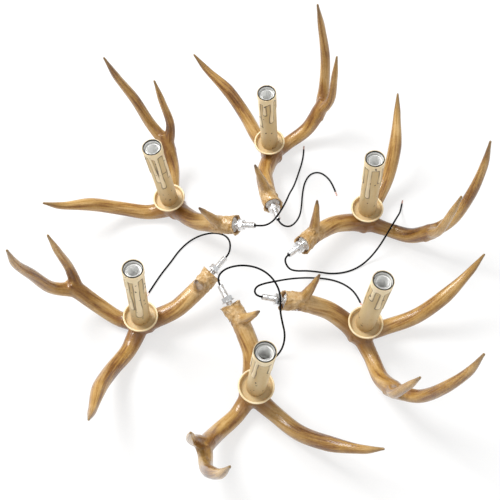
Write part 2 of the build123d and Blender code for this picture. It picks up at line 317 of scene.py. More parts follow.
class Nodes:
    """A small hand for building one material's nodes."""

    def __init__(self, name: str) -> None:
        """Starts a material with an empty Principled surface.

        Args:
            name: The material's name.
        """
        self.material = bpy.data.materials.new(name)
        self.material.use_nodes = True
        self.tree = self.material.node_tree
        self.shader = self.tree.nodes["Principled BSDF"]

    def feed(self, socket: Socket, value: object) -> None:
        """Links an output to a socket, or sets the socket to a value.

        Args:
            socket: The socket.
            value: An output, a number, three numbers or a colour.
        """
        if isinstance(value, Socket):
            self.tree.links.new(value, socket)
        elif socket.type == "RGBA":
            socket.default_value = (*value, 1.0)
        else:
            socket.default_value = value

    def add(self, kind: str, inputs: dict[str | int, object], **choices: str) -> bpy.types.Node:
        """Adds a node.

        Args:
            kind: The node's kind.
            inputs: The value or output for each of its sockets.
            choices: The node's own settings.

        Returns:
            The node.
        """
        node = self.tree.nodes.new(f"ShaderNode{kind}")
        for name, choice in choices.items():
            setattr(node, name, choice)
        for socket, value in inputs.items():
            self.feed(node.inputs[socket], value)
        return node

    def put(self, **values: object) -> None:
        """Sets values of the surface, or links outputs to it, by the sockets' names."""
        for socket, value in values.items():
            self.feed(self.shader.inputs[socket.replace("_", " ")], value)

    def coords(self) -> Socket:
        """Returns the Object coordinates."""
        return self.add("TexCoord", {}).outputs["Object"]

    def attribute(self, name: str) -> Sequence[Socket]:
        """Returns the three channels of a painted attribute."""
        source = self.add("Attribute", {}, attribute_name=name)
        return self.add("SeparateColor", {0: source.outputs["Color"]}).outputs[:3]

    def flow(self) -> Socket:
        """Returns the painted place along and round the limb, in millimetres."""
        return self.add("Attribute", {}, attribute_name="flow").outputs["Vector"]

    def grain(self, scale: float, detail: float = 4.0, stretch: Point = (1, 1, 1),
              rough: float = 0.55, on: Socket | None = None) -> Socket:
        """Adds a noise on Object coordinates, or on others.

        Args:
            scale: Waves to a metre, or to a unit of the other coordinates.
            detail: Octaves.
            stretch: Scale of each axis before the noise.
            rough: How strong the finer octaves are.
            on: The other coordinates.

        Returns:
            The noise's value, from 0 to 1.
        """
        place = self.add("Mapping", {"Scale": stretch, "Vector": on or self.coords()})
        return self.add("TexNoise", {"Scale": scale, "Detail": detail, "Roughness": rough,
                                     "Vector": place.outputs[0]}).outputs["Fac"]

    def ramp(self, value: Socket, *stops: tuple[float, Colour]) -> Socket:
        """Turns a value into a colour.

        Args:
            value: The value.
            stops: Place and colour of each stop.

        Returns:
            The colour.
        """
        node = self.add("ValToRGB", {0: value})
        band = node.color_ramp
        while len(band.elements) < len(stops):
            band.elements.new(0.5)
        for element, (place, colour) in zip(band.elements, stops):
            element.position = place
            element.color = (*colour, 1.0)
        return node.outputs[0]

    def level(self, value: Socket, low: float, high: float, to_low: float = 0.0,
              to_high: float = 1.0) -> Socket:
        """Maps a value smoothly.

        Args:
            value: The value.
            low: Where its range starts.
            high: Where it ends.
            to_low: What low becomes.
            to_high: What high becomes.

        Returns:
            The mapped value.
        """
        return self.add("MapRange", {"Value": value, "From Min": low, "From Max": high,
                                     "To Min": to_low, "To Max": to_high},
                        interpolation_type="SMOOTHSTEP").outputs["Result"]

    def math(self, kind: str, a: object, b: object) -> Socket:
        """Adds a math node on two values or outputs."""
        return self.add("Math", {0: a, 1: b}, operation=kind).outputs[0]

    def times(self, a: object, b: object) -> Socket:
        """Returns the product of two values or outputs."""
        return self.math("MULTIPLY", a, b)

    def mix(self, amount: object, a: object, b: object) -> Socket:
        """Mixes two colours by an amount."""
        return self.add("Mix", {0: amount, 6: a, 7: b}, data_type="RGBA").outputs[2]

    def bump(self, height: Socket, depth: float, strength: float = 1.0) -> None:
        """Raises the surface by a height, depth metres from 0 to 1."""
        node = self.add("Bump", {"Strength": strength, "Distance": depth, "Height": height})
        self.put(Normal=node.outputs[0])


@dataclass(frozen=True)
class AntlerFinish:
    """Stained cast resin: golden brown with streaks along the grain, glossy but for the burr.

    The grain attribute holds streak, tip and hollow; hollow is painted shade, darker in the
    crotches and round the boss under the dish. The burr attribute holds burr, pocket and knot.
    The flow attribute holds the place along and round the limb.
    """

    pale: Colour = (0.64, 0.425, 0.175)
    golden: Colour = (0.43, 0.240, 0.062)
    brown: Colour = (0.225, 0.095, 0.020)
    deep: Colour = (0.085, 0.035, 0.009)
    tip: Colour = (0.27, 0.165, 0.062)
    bark: Colour = (0.52, 0.34, 0.155)
    crust: Colour = (0.72, 0.53, 0.30)
    pit: Colour = (0.10, 0.048, 0.016)
    cut: Colour = (0.26, 0.125, 0.038)
    gloss: float = 0.29
    matt: float = 0.62
    coat: float = 0.45
    coat_gloss: float = 0.12
    relief: float = 0.0009

    def material(self) -> bpy.types.Material:
        """Builds the finish.

        Returns:
            The material.
        """
        made = Nodes("antler_resin")
        streak, tip, hollow = made.attribute("grain")
        burr, pocket, knot = made.attribute("burr")
        fine = made.grain(420.0, 5.0, rough=0.6)
        cloud = made.grain(20.0, 3.0)
        strands = made.grain(1.0, 5.0, (0.035, 0.42, 0.42), 0.62, made.flow())
        tone = streak
        for waves, weight in ((fine, 0.28), (cloud, 0.85), (strands, 0.66)):
            tone = made.math("ADD", tone, made.times(made.math("SUBTRACT", waves, 0.5), weight))
        body = made.ramp(tone, (0.12, self.deep), (0.34, self.brown), (0.55, self.golden),
                         (0.84, self.pale))
        body = made.mix(made.times(tip, 0.7), body, self.tip)
        # Painted shade: hollow darkens the crotches and the boss under the dish toward brown.
        body = made.mix(made.times(hollow, 0.9), body, self.brown)
        pits = made.grain(150.0, 6.0, rough=0.70)
        bark = made.ramp(pits, (0.30, self.pit), (0.40, self.golden), (0.50, self.bark),
                         (0.64, self.crust))
        body = made.mix(made.times(burr, 0.9), body, bark)
        body = made.mix(made.times(knot, 0.85), body, self.pit)
        dull = made.math("MAXIMUM", burr, pocket)
        made.put(Base_Color=made.mix(pocket, body, self.cut), Coat_Weight=self.coat,
                 Roughness=made.level(dull, 0.0, 1.0, self.gloss, self.matt),
                 Coat_Roughness=self.coat_gloss, Specular_IOR_Level=0.4)
        rough = made.times(pits, made.level(burr, 0.0, 1.0, 0.10, 1.0))
        made.bump(made.math("ADD", rough, made.times(strands, 0.9)), self.relief)
        return made.material


@dataclass(frozen=True)
class WaxFinish:
    """Warm beige wax look, mottled, with painted shade, dark, in the creases, and browner low down.

    Its painted attribute holds crease, foot and how thick the wax stands. Crease is painted
    shade along the wax's edges, on the sleeve's inner lip and in a line round the dish's cup,
    merged with dark pits; foot is browner towards the sleeve's foot, and painted shade under
    the dish and low in its cup.
    """

    base: Colour = (0.60, 0.435, 0.205)
    mottle: Colour = (0.70, 0.535, 0.285)
    drip: Colour = (0.83, 0.665, 0.400)
    pale: Colour = (0.91, 0.780, 0.540)
    # Browner towards the sleeve's foot; painted shade under the dish and low in its cup.
    stain: Colour = (0.38, 0.225, 0.080)
    # Painted shade in the creases.
    dark: Colour = (0.052, 0.027, 0.012)

    def material(self) -> bpy.types.Material:
        """Builds the finish.

        Returns:
            The material.
        """
        made = Nodes("wax_beige")
        crease, foot, wax = made.attribute("stain")
        cloud = made.grain(55.0, 4.0, (1, 1, 0.4))
        fine = made.grain(600.0, 3.0)
        colour = made.mix(wax, made.ramp(cloud, (0.32, self.base), (0.66, self.mottle)),
                          made.ramp(cloud, (0.32, self.drip), (0.66, self.pale)))
        # Browner towards the sleeve's foot, and painted shade under the dish and low in its cup.
        foot_tint_and_shade = made.times(foot, made.level(cloud, 0.3, 0.7, 0.30, 0.75))
        colour = made.mix(foot_tint_and_shade, colour, self.stain)
        # Painted shade in the creases, with the dark pits.
        made.put(Base_Color=made.mix(crease, colour, self.dark),
                 Roughness=made.level(fine, 0.3, 0.7, 0.42, 0.6), Subsurface_Weight=0.08,
                 Subsurface_Radius=(0.004, 0.002, 0.001), Subsurface_Scale=0.5)
        made.bump(made.math("ADD", fine, made.times(cloud, 2.0)), 0.0003, 0.6)
        return made.material


@dataclass(frozen=True)
class LinerFinish:
    """Card liner: painted shade, dark, along its open edge and down the top of its inner wall; pale
    foil inside.

    The edge attribute holds how near the open edge is, which is how much painted shade it gets.
    """

    # Painted shade at the open edge.
    dark: Colour = (0.012, 0.010, 0.009)
    foil: Colour = (0.96, 0.96, 0.94)
    dull: Colour = (0.86, 0.85, 0.82)

    def material(self) -> bpy.types.Material:
        """Builds the finish.

        Returns:
            The material.
        """
        made = Nodes("liner_card")
        edge = made.attribute("edge")[0]
        spots = made.grain(320.0)
        foil = made.ramp(spots, (0.32, self.dull), (0.6, self.foil))
        # Painted shade: dark towards the open edge.
        made.put(Base_Color=made.mix(edge, foil, self.dark),
                 Roughness=made.level(edge, 0.0, 1.0, 0.42, 0.7))
        made.bump(spots, 0.00015, 0.5)
        return made.material


@dataclass(frozen=True)
class MetalFinish:
    """Plated metal with fine turning marks and a little dulling.

    Attributes:
        name: The material's name.
        colour: The metal's colour.
        dull: The colour where it has dulled.
        gloss: The roughness of the bright places.
        metal: How metallic it is; a satin or brushed metal is less than 1.
    """

    name: str
    colour: Colour
    dull: Colour
    gloss: float
    metal: float = 1.0

    def material(self) -> bpy.types.Material:
        """Builds the finish.

        Returns:
            The material.
        """
        made = Nodes(self.name)
        spots = made.grain(260.0)
        made.put(Base_Color=made.ramp(spots, (0.35, self.dull), (0.6, self.colour)),
                 Metallic=self.metal,
                 Roughness=made.level(spots, 0.3, 0.7, self.gloss + 0.18, self.gloss))
        made.bump(made.grain(1500.0, 2.0, (1, 1, 6)), 0.00008, 0.5)
        return made.material


@dataclass(frozen=True)
class MouldedFinish:
    """Moulded or fibrous matt body with faint mottling.

    Attributes:
        name: The material's name.
        colour: The main colour.
        shade: The colour in the darker places.
        rough: The surface's roughness.
        scale: Waves of the mottling to a metre.
        depth: Height of the surface's unevenness, in metres.
        shine: Its specular level.
    """

    name: str
    colour: Colour
    shade: Colour
    rough: float
    scale: float = 300.0
    depth: float = 0.00015
    shine: float = 0.5

    def material(self) -> bpy.types.Material:
        """Builds the finish.

        Returns:
            The material.
        """
        made = Nodes(self.name)
        spots = made.grain(self.scale)
        made.put(Base_Color=made.ramp(spots, (0.3, self.shade), (0.62, self.colour)),
                 Roughness=made.level(spots, 0.3, 0.7, self.rough + 0.08, self.rough),
                 Specular_IOR_Level=self.shine)
        made.bump(spots, self.depth, 0.6)
        return made.material


class Finish(Enum):
    """The finishes of the chandelier's pieces, by the record's slot."""

    ANTLER = ("antler", AntlerFinish())
    WAX = ("wax", WaxFinish())
    LINER = ("liner", LinerFinish())
    HOLDER = ("holder", MouldedFinish("holder_white", (0.97, 0.97, 0.95), (0.91, 0.91, 0.88), 0.36))
    STEEL = ("steel", MetalFinish("plated_steel", (0.93, 0.94, 0.95), (0.76, 0.76, 0.76), 0.20))
    SHELL = ("shell", MetalFinish("shell_satin", (0.98, 0.98, 0.97), (0.93, 0.93, 0.91), 0.36, 0.08))
    CONTACT = ("contact", MetalFinish("contact_dull", (0.34, 0.29, 0.20), (0.10, 0.085, 0.07), 0.38))
    PLUG = ("plug", MouldedFinish("plug_white", (0.93, 0.93, 0.91), (0.80, 0.80, 0.78), 0.55, 500.0,
                                  0.0003))
    LEAD = ("lead", MouldedFinish("lead_black", (0.004, 0.004, 0.005), (0.002, 0.002, 0.002), 0.50,
                                  shine=0.12))
    COPPER = ("copper", MetalFinish("strands", (0.90, 0.62, 0.54), (0.68, 0.42, 0.36), 0.3))

    def __init__(self, slot: str, look: object) -> None:
        """Keeps the record's slot and the finish."""
        self.slot = slot
        self.look = look
        self.made: bpy.types.Material | None = None

    def material(self) -> bpy.types.Material:
        """Returns the finish's material, made on its first use."""
        if self.made is None:
            self.made = self.look.material()
        return self.made


def dress(piece: bpy.types.Object, finish: Finish, body: str, *nodes: str) -> bpy.types.Object:
    """Gives a finished piece its material and its body, hides the CAD nodes it stands for,
    and logs its slot.

    Args:
        piece: The piece, with its place in its mesh.
        finish: Its finish.
        body: The CAD body that it rides on.
        nodes: The CAD nodes that it replaces.

    Returns:
        The piece.
    """
    piece.data.materials.clear()
    piece.data.materials.append(finish.material())
    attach(piece, body)
    if nodes:
        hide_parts(*nodes)
    log.info("%s: %s on %s", piece.name, finish.slot, body)
    return piece


# ---------------------------------------------------------------- the casting

@dataclass(frozen=True)
class Limb:
    """One limb of the antler: points on its centre line, in millimetres, with its radius."""

    name: str
    stations: Sequence[Station]
    is_tine: bool = True


BASE_CENTRE = Vector((-89.5, -53.3, 51.9))
BASE_OUTWARD = Vector((-0.69, -0.65, 0.30)).normalized()
BASE_TURN = Vector((0, 0, 1)).rotation_difference(BASE_OUTWARD).to_matrix().to_4x4()

LIMBS = (
    Limb("beam", (
        (tuple(BASE_CENTRE), 15.0), (tuple(BASE_CENTRE - BASE_OUTWARD * 5.0), 13.2),
        ((-77.5, -40.0, 48.5), 13.0), ((-62.5, -27.5, 42.0), 12.3), ((-43.5, -14.5, 33.5), 12.1),
        ((-21.0, -8.0, 24.5), 12.6), ((1.0, -4.5, 17.0), 15.4), ((16.0, -2.0, 14.0), 11.0),
    ), False),
    Limb("left_tine", (
        ((-8.0, -17.0, 19.0), 9.0), ((6.0, 7.0, 15.5), 12.0), ((18.0, 31.0, 13.0), 10.4),
        ((35.5, 60.5, 27.0), 10.0), ((46.0, 91.5, 52.0), 9.4), ((50.0, 126.0, 76.0), 5.4),
        ((50.5, 146.0, 101.0), 1.6),
    )),
    Limb("branch", (
        ((-14.0, 2.0, 20.0), 9.5), ((7.0, -6.0, 15.0), 11.8), ((30.0, -15.0, 12.0), 10.2),
        ((56.5, -31.0, 22.0), 10.6), ((77.5, -39.5, 45.5), 11.4), ((88.0, -41.0, 60.0), 8.4),
    ), False),
    Limb("long_tine", (
        ((70.0, -42.0, 35.0), 8.0), ((88.0, -38.0, 51.0), 9.2), ((106.5, -32.5, 70.0), 8.0),
        ((119.0, -26.0, 113.0), 7.0), ((127.0, -15.0, 157.5), 5.3), ((127.0, -7.5, 200.0), 1.6),
    )),
    Limb("short_tine", (
        ((73.0, -36.0, 38.0), 7.4), ((79.5, -46.5, 57.0), 8.0), ((84.0, -54.0, 79.5), 6.2),
        ((91.0, -53.5, 119.0), 4.8), ((96.0, -52.5, 156.0), 1.6),
    )),
    Limb("brow_tine", (
        ((-75.0, -38.0, 46.0), 9.4), ((-71.5, -29.0, 66.0), 6.6), ((-69.5, -21.5, 86.0), 4.2),
        ((-68.5, -16.0, 102.0), 1.6),
    )),
)


LIMB_SEED = 17.0  # shift of the noises from limb to limb
LIMB_APART = 90.0  # shift of the painted grain from limb to limb, in millimetres
AROUND_R = 10  # radius at which the painted grain runs round every limb, in millimetres


class LimbLine:
    """A limb's smooth centre line, sampled closely, with a frame and a radius at each sample."""

    def __init__(self, limb: Limb, step: float = 2.0, slim: float = 0.945) -> None:
        """Samples a limb.

        Args:
            limb: The limb.
            step: About how far apart the samples are, in millimetres.
            slim: Radius of the smooth limb over the corner radius of the CAD limb.
        """
        self.limb = limb
        self.centres: list[Vector] = []
        radii: list[float] = []
        spots = [Vector(point) for point, _ in limb.stations]
        sizes = [radius for _, radius in limb.stations]
        spots = [spots[0] * 2 - spots[1]] + spots + [spots[-1] * 2 - spots[-2]]
        sizes = [sizes[0]] + sizes + [sizes[-1]]
        for k in range(1, len(spots) - 2):
            count = max(2, round((spots[k + 1] - spots[k]).length / step))
            for j in range(count):
                self.centres.append(self._spline(spots[k - 1:k + 3], j / count))
                t = smoothstep(0.0, 1.0, j / count) * 0.5 + j / count * 0.5
                radii.append(sizes[k] * (1 - t) + sizes[k + 1] * t)
        self.centres.append(spots[-2])
        radii.append(sizes[-2])
        self.radii = [r * slim for r in radii]
        self.frames = self._frames()
        steps = [(b - a).length for a, b in zip(self.centres, self.centres[1:])]
        self.along = np.cumsum([0.0] + steps)

    @staticmethod
    def _spline(four: Sequence[Vector], t: float) -> Vector:
        """Returns a point on the Catmull-Rom span between the middle two of four points."""
        a, b, c, d = four
        return 0.5 * ((2 * b) + (c - a) * t + (2 * a - 5 * b + 4 * c - d) * t ** 2
                      + (3 * b - a - 3 * c + d) * t ** 3)

    def _frames(self) -> list[Matrix]:
        """Works out an untwisted frame at each sample.

        Returns:
            The frames, with Z along the limb.
        """
        frames = []
        side = Vector((0.3, -0.2, 1.0))
        for k, centre in enumerate(self.centres):
            ahead = self.centres[min(k + 1, len(self.centres) - 1)]
            behind = self.centres[max(k - 1, 0)]
            along = (ahead - behind).normalized()
            side = (side - along * side.dot(along)).normalized()
            frames.append(framed(side, along.cross(side), along, centre))
        return frames

    def sweep(self, bm: bmesh.types.BMesh, segments: int = 24) -> None:
        """Adds the limb as a closed tube with a rounded far end, in metres.

        Args:
            bm: The bmesh that takes it.
            segments: Steps round the limb.
        """
        tube = [at @ Matrix.Scale(r, 4) for at, r in zip(self.frames, self.radii)]
        if self.limb.is_tine:
            tube = tube[:-1]
            last, radius = self.frames[-1], self.radii[-1]
            for back, share in ((0.9, 0.97), (0.45, 0.75), (0.12, 0.38)):
                tube.append(last @ Matrix.Translation((0, 0, -back * radius))
                            @ Matrix.Scale(radius * share, 4))
        scale = Matrix.Scale(MM, 4)
        tube = [scale @ matrix for matrix in tube]
        start = bmesh.ops.create_circle(bm, cap_ends=True, segments=segments, radius=1.0,
                                        matrix=tube[0])
        edges = list({edge for vert in start["verts"] for edge in vert.link_edges})
        for before, after in zip(tube, tube[1:]):
            grown = bmesh.ops.extrude_edge_only(bm, edges=edges)["geom"]
            bmesh.ops.transform(bm, matrix=after @ before.inverted(), verts=new_verts(grown))
            edges = [g for g in grown if isinstance(g, bmesh.types.BMEdge)]
        bmesh.ops.contextual_create(bm, geom=edges)


@dataclass(frozen=True)
class Nearness:
    """Where a set of spots lies on every limb, by limb and spot.

    Attributes:
        index: The nearest sample.
        ratio: The distance over the limb's radius there.
        turn: The turn about the limb, in radians.
    """

    index: np.ndarray
    ratio: np.ndarray
    turn: np.ndarray

    def second(self) -> np.ndarray:
        """Returns the distance over radius of each spot's second nearest limb."""
        return np.sort(self.ratio, axis=0)[1]


@dataclass
class LimbSpot:
    """One spot's place on one limb.

    Attributes:
        limb: The limb's number.
        line: Its centre line.
        ratio: The spot's distance over the limb's radius.
        share: How much the limb counts at the spot.
        along: Distance along the limb, in millimetres.
        angle: Turn about the limb, which winds slowly along it, in radians.
        size: The limb's radius there, in millimetres.
    """

    limb: int
    line: LimbLine
    ratio: float
    share: float
    along: float
    angle: float
    size: float

    def wave(self, pace: float, loop: float, fine: bool = False) -> float:
        """Works out a noise that runs along the limb and closes on itself round it.

        Args:
            pace: Waves to a millimetre along the limb.
            loop: Radius of the loop in the noise; more gives more waves.
            fine: Whether it is one of the finer waves, which are shifted the other way.

        Returns:
            The noise, from -1 to 1.
        """
        across, up = math.cos(self.angle) * loop, math.sin(self.angle) * loop
        seed = self.limb * LIMB_SEED
        if fine:
            return noise.noise(Vector((self.along * pace, across, up + seed)))
        return noise.noise(Vector((self.along * pace, across + seed, up)))

    def place(self) -> Point:
        """Returns the place along and round the limb, in millimetres, apart for each limb."""
        return (self.along + LIMB_APART * self.limb, AROUND_R * math.cos(self.angle),
                AROUND_R * math.sin(self.angle))

    def end(self, low: float) -> float:
        """Returns 1 at the limb's tip and 0 below a share of its length."""
        return smoothstep(low, 1.0, self.along / self.line.along[-1])


@dataclass
class AntlerCasting:
    """The cast antler: beam, tines, burr, boss under the dish, and the pocket in its base.

    Attributes:
        voxel: Grain of the fused surface, in metres.
        boss_foot: Height and radius of the boss's foot, in millimetres.
        boss_top: Height and radius of its top, in millimetres.
        pocket_r: Radius of the pocket in the base, in millimetres.
        pocket_depth: Its depth, in millimetres.
        mouth: Height and share of that radius for the rings near the pocket's mouth.
        burr_reach: How far the rough burr reaches from the cut end, in millimetres.
        crotch: Second nearest limb's distance over radius, below which a crotch is blended.
        passes: How often it is smoothed.
        reach: Distance over radius past which a limb doesn't count.
        skin: Distance over radius at which it counts most.
        falloff: How fast it counts less away from there.
        twist: How much the grain winds, in radians to a millimetre.
        ridge: Height of the broad ridges, over the limb's radius.
        ridge_wave: Their pace along the limb and their loop round it.
        groove: Height of the narrow grooves, over the limb's radius.
        groove_wave: Their pace and loop.
        streak_wave: Pace and loop of the broad stains.
        line_wave: Pace and loop of the narrow stains.
        pearl: Height of the pearls on the burr, in millimetres.
        pearl_pace: Pearls to a millimetre.
        burr_side: How far the burr may lie beside the base's axis, in millimetres.
        burr_fade: Where it starts and ends to fade, over its reach.
        burr_wander: How unevenly its edge runs, in millimetres.
        jag: How ragged the pocket's rim is, over its radius.
        rest: How high the contact points of the arm are kept above the floor, in metres.
    """

    voxel: float = 0.00105
    boss_foot: Pair = (18.0, 14.0)
    boss_top: Pair = (41.0, 10.5)
    pocket_r: float = 9.6
    pocket_depth: float = 22.0
    mouth: Profile = ((-7.0, 1.0), (-2.5, 1.10), (4.0, 1.30))
    burr_reach: float = 34.0
    crotch: float = 1.48
    passes: int = 16
    reach: float = 1.5
    skin: float = 0.97
    falloff: float = 7.0
    twist: float = 0.006
    ridge: float = 0.040
    ridge_wave: Pair = (0.016, 1.9)
    groove: float = 0.024
    groove_wave: Pair = (0.022, 5.5)
    streak_wave: Pair = (0.014, 1.5)
    line_wave: Pair = (0.030, 8.0)
    pearl: float = 1.1
    pearl_pace: float = 0.17
    burr_side: float = 46.0
    burr_fade: Pair = (0.62, 1.3)
    burr_wander: float = 9.0
    jag: float = 0.10
    rest: float = 0.0002
    lines: list[LimbLine] = field(default_factory=lambda: [LimbLine(limb) for limb in LIMBS])
    brow: int = len(LIMBS) - 1

    def rough_out(self) -> bpy.types.Object:
        """Makes the limbs and the boss as overlapping closed tubes.

        Returns:
            One object that holds them.
        """
        bm = bmesh.new()
        for line in self.lines:
            line.sweep(bm)
        (foot_z, foot_r), (top_z, top_r) = self.boss_foot, self.boss_top
        bmesh.ops.create_cone(
            bm, cap_ends=True, segments=32, radius1=foot_r * MM, radius2=top_r * MM,
            depth=(top_z - foot_z) * MM,
            matrix=Matrix.Translation((0, 0, (top_z + foot_z) / 2 * MM)),
        )
        bmesh.ops.recalc_face_normals(bm, faces=bm.faces)
        return object_of(mesh_of(bm, "rough"), "rough")

    def fuse(self, rough: bpy.types.Object) -> bpy.types.Mesh:
        """Fuses the overlapping tubes into one skin.

        Args:
            rough: The object that holds them, which is removed.

        Returns:
            The fused mesh.
        """
        remesh = rough.modifiers.new("fuse", "REMESH")
        remesh.mode = "VOXEL"
        remesh.voxel_size = self.voxel
        remesh.use_smooth_shade = True
        return bake(rough, "fused")

    def near(self, verts: Iterable[bmesh.types.BMVert | bpy.types.MeshVertex]
             ) -> tuple[np.ndarray, Nearness]:
        """Finds each vertex's place on every limb.

        Args:
            verts: The vertices.

        Returns:
            Their places in millimetres, and where they lie on the limbs.
        """
        spots = np.array([tuple(v.co) for v in verts]) / MM
        index, ratio, turn = [], [], []
        for line in self.lines:
            centres = np.array([tuple(c) for c in line.centres])
            radii = np.array(line.radii)
            frames = np.array([[list(row) for row in f.to_3x3()] for f in line.frames])
            gap = np.linalg.norm(spots[:, None, :] - centres[None, :, :], axis=2)
            best = np.argmin(gap / (radii[None, :] + 4.0), axis=1)
            local = np.einsum("nij,ni->nj", frames[best], spots - centres[best])
            flat = np.hypot(local[:, 0], local[:, 1])
            past_end = np.abs(local[:, 2]) > 3.0
            far = np.where(past_end, gap[np.arange(len(spots)), best], flat)
            index.append(best)
            ratio.append(far / radii[best])
            turn.append(np.arctan2(local[:, 1], local[:, 0]))
        return spots, Nearness(np.array(index), np.array(ratio), np.array(turn))

    def limbs_at(self, where: Nearness, k: int) -> Iterator[LimbSpot]:
        """Finds the limbs that a spot lies on or near.

        Args:
            where: Where the spots lie.
            k: The spot's number.

        Returns:
            The spot's place on each of them, in turn.
        """
        for limb, line in enumerate(self.lines):
            ratio, index = where.ratio[limb, k], where.index[limb, k]
            if ratio <= self.reach:
                share = math.exp(-self.falloff * abs(ratio - self.skin))
                along = line.along[index]
                angle = where.turn[limb, k] + along * self.twist
                yield LimbSpot(limb, line, ratio, share, along, angle, line.radii[index])

    def carve(self, mesh: bpy.types.Mesh) -> None:
        """Blends the crotches and gives the skin its ridges, grain and burr.

        Args:
            mesh: The fused mesh, which is changed.
        """
        bm = bmesh.new()
        bm.from_mesh(mesh)
        bm.verts.ensure_lookup_table()
        _, where = self.near(bm.verts)
        joints = [bm.verts[int(k)] for k in np.nonzero(where.second() < self.crotch)[0]]
        for verts in [joints] * self.passes + [bm.verts[:]]:
            bmesh.ops.smooth_vert(bm, verts=verts, factor=0.5, use_axis_x=True,
                                  use_axis_y=True, use_axis_z=True)
        bm.normal_update()
        spots, where = self.near(bm.verts)
        for k, vert in enumerate(bm.verts):
            height, weight = 0.0, LEAST
            for spot in self.limbs_at(where, k):
                ridge = spot.wave(*self.ridge_wave) * self.ridge * spot.size
                groove = spot.wave(*self.groove_wave, fine=True) * self.groove * spot.size
                height += spot.share * (ridge + groove)
                weight += spot.share
            height /= weight
            burr = self.burr(spots[k])
            if burr > 0:
                pearl = noise.turbulence(Vector(spots[k]) * self.pearl_pace, 4, False)
                height += burr * self.off_brow(where, k) * (pearl - 0.5) * self.pearl
            vert.co += vert.normal * height * MM
        bm.to_mesh(mesh)
        bm.free()

    def off_brow(self, where: Nearness, k: int) -> float:
        """Works out how much of the burr's roughness shows beside the smooth brow tine.

        Args:
            where: Where the spots lie.
            k: The spot's number.

        Returns:
            1 on the burr and nearly 0 on the brow tine that stands on it.
        """
        out = smoothstep(10.0, 22.0, self.lines[self.brow].along[where.index[self.brow, k]])
        return 1.0 - 0.88 * out * (1.0 - smoothstep(1.15, self.reach, where.ratio[self.brow, k]))

    @staticmethod
    def from_cut(spot: np.ndarray) -> Pair:
        """Measures a spot from the cut end.

        Args:
            spot: The place, in millimetres.

        Returns:
            How far it lies behind the cut end and beside the base's axis, in millimetres.
        """
        away = Vector(spot) - BASE_CENTRE
        back = -away.dot(BASE_OUTWARD)
        return back, (away + BASE_OUTWARD * back).length

    def burr(self, spot: np.ndarray) -> float:
        """Works out how rough the burr is.

        Args:
            spot: The place, in millimetres.

        Returns:
            0 where it is smooth to 1 where it is roughest.
        """
        back, side = self.from_cut(spot)
        if side > self.burr_side:
            return 0.0
        wave = noise.noise(Vector(spot) * 0.06) * self.burr_wander
        start, end = (self.burr_reach * share for share in self.burr_fade)
        return 1.0 - smoothstep(start, end, back + wave)

    def cutter(self) -> bpy.types.Object:
        """Makes the plug-shaped tool that cuts the pocket, with a ragged rim.

        Returns:
            The tool, at its place in the arm's frame.
        """
        bm = bmesh.new()
        levels = ((-self.pocket_depth, 1.0), *self.mouth)
        rings = []
        for height, share in levels:
            ring = bmesh.ops.create_circle(
                bm, cap_ends=height in (levels[0][0], levels[-1][0]), segments=40,
                radius=self.pocket_r * share,
                matrix=Matrix.Translation((0, 0, height)))
            rings.append(list({e for v in ring["verts"] for e in v.link_edges}))
        for low, high in zip(rings, rings[1:]):
            bmesh.ops.bridge_loops(bm, edges=low + high)
        for vert in bm.verts:
            if vert.co.z > -4.0:
                widen(vert, 1 + self.jag * ring_noise(polar(vert)[1], 1.7, 3.1))
        bmesh.ops.recalc_face_normals(bm, faces=bm.faces)
        place = Matrix.Translation(BASE_CENTRE) @ BASE_TURN
        bmesh.ops.transform(bm, matrix=Matrix.Scale(MM, 4) @ place, verts=bm.verts[:])
        return object_of(mesh_of(bm, "cutter"), "cutter")

    def hollow(self, mesh: bpy.types.Mesh) -> bpy.types.Mesh:
        """Cuts the pocket for the plug into the base.

        Args:
            mesh: The carved mesh.

        Returns:
            The mesh with its pocket. A solver that loses the casting gives way to the next.
        """
        cutter = self.cutter()
        for solver, crossing in (("EXACT", False), ("EXACT", True), ("FAST", False)):
            solid = object_of(mesh, "solid")
            cut = solid.modifiers.new("pocket", "BOOLEAN")
            cut.operation = "DIFFERENCE"
            cut.solver = solver
            cut.use_self = crossing
            cut.object = cutter
            done = bake(solid, "antler")
            if len(done.vertices) > len(mesh.vertices) / 2:
                break
        bpy.data.objects.remove(cutter)
        return done

    def stain(self, mesh: bpy.types.Mesh) -> None:
        """Paints the grain, burr and flow attributes that the finish reads.

        Args:
            mesh: The casting.
        """
        spots, where = self.near(mesh.vertices)
        second = where.second()
        grain, rough, flow = [], [], []
        for k, (x, y, _) in enumerate(spots):
            streak, tip, weight, knot, best = 0.0, 0.0, LEAST, 0.0, 0.0
            place = (0.0, 0.0, 0.0)
            for spot in self.limbs_at(where, k):
                if spot.share > best:
                    best, place = spot.share, spot.place()
                broad = spot.wave(*self.streak_wave)
                lines = spot.wave(*self.line_wave, fine=True)
                streak += spot.share * (0.52 + 0.30 * broad + 0.16 * lines)
                if spot.line.limb.is_tine:
                    tip += spot.share * spot.end(0.82)
                weight += spot.share
                if spot.limb == self.brow and spot.ratio < 1.2:
                    knot = spot.end(0.80)
            # Painted shade: darker in the crotches between limbs and round the boss under the dish.
            crotch = 1.0 - smoothstep(1.05, self.reach, second[k])
            boss = 1.0 - smoothstep(16.0, 40.0, float(np.hypot(x, y)))
            back, side = self.from_cut(spots[k])
            wall = self.pocket_r + 0.6 + 1.6 * (1.0 - smoothstep(0.0, 5.0, back))
            inside = float(0.6 < back < self.pocket_depth + 2.0 and side < wall)
            flow.append(place)
            grain.append((streak / weight, tip / weight, max(crotch * 0.35, boss * 0.9)))
            rough.append((self.burr(spots[k]) * self.off_brow(where, k), inside, knot))
        paint(mesh, "grain", grain)
        paint(mesh, "burr", rough)
        layer = mesh.attributes.new("flow", "FLOAT_VECTOR", "POINT")
        layer.data.foreach_set("vector", np.asarray(flow, dtype=np.float32).ravel())

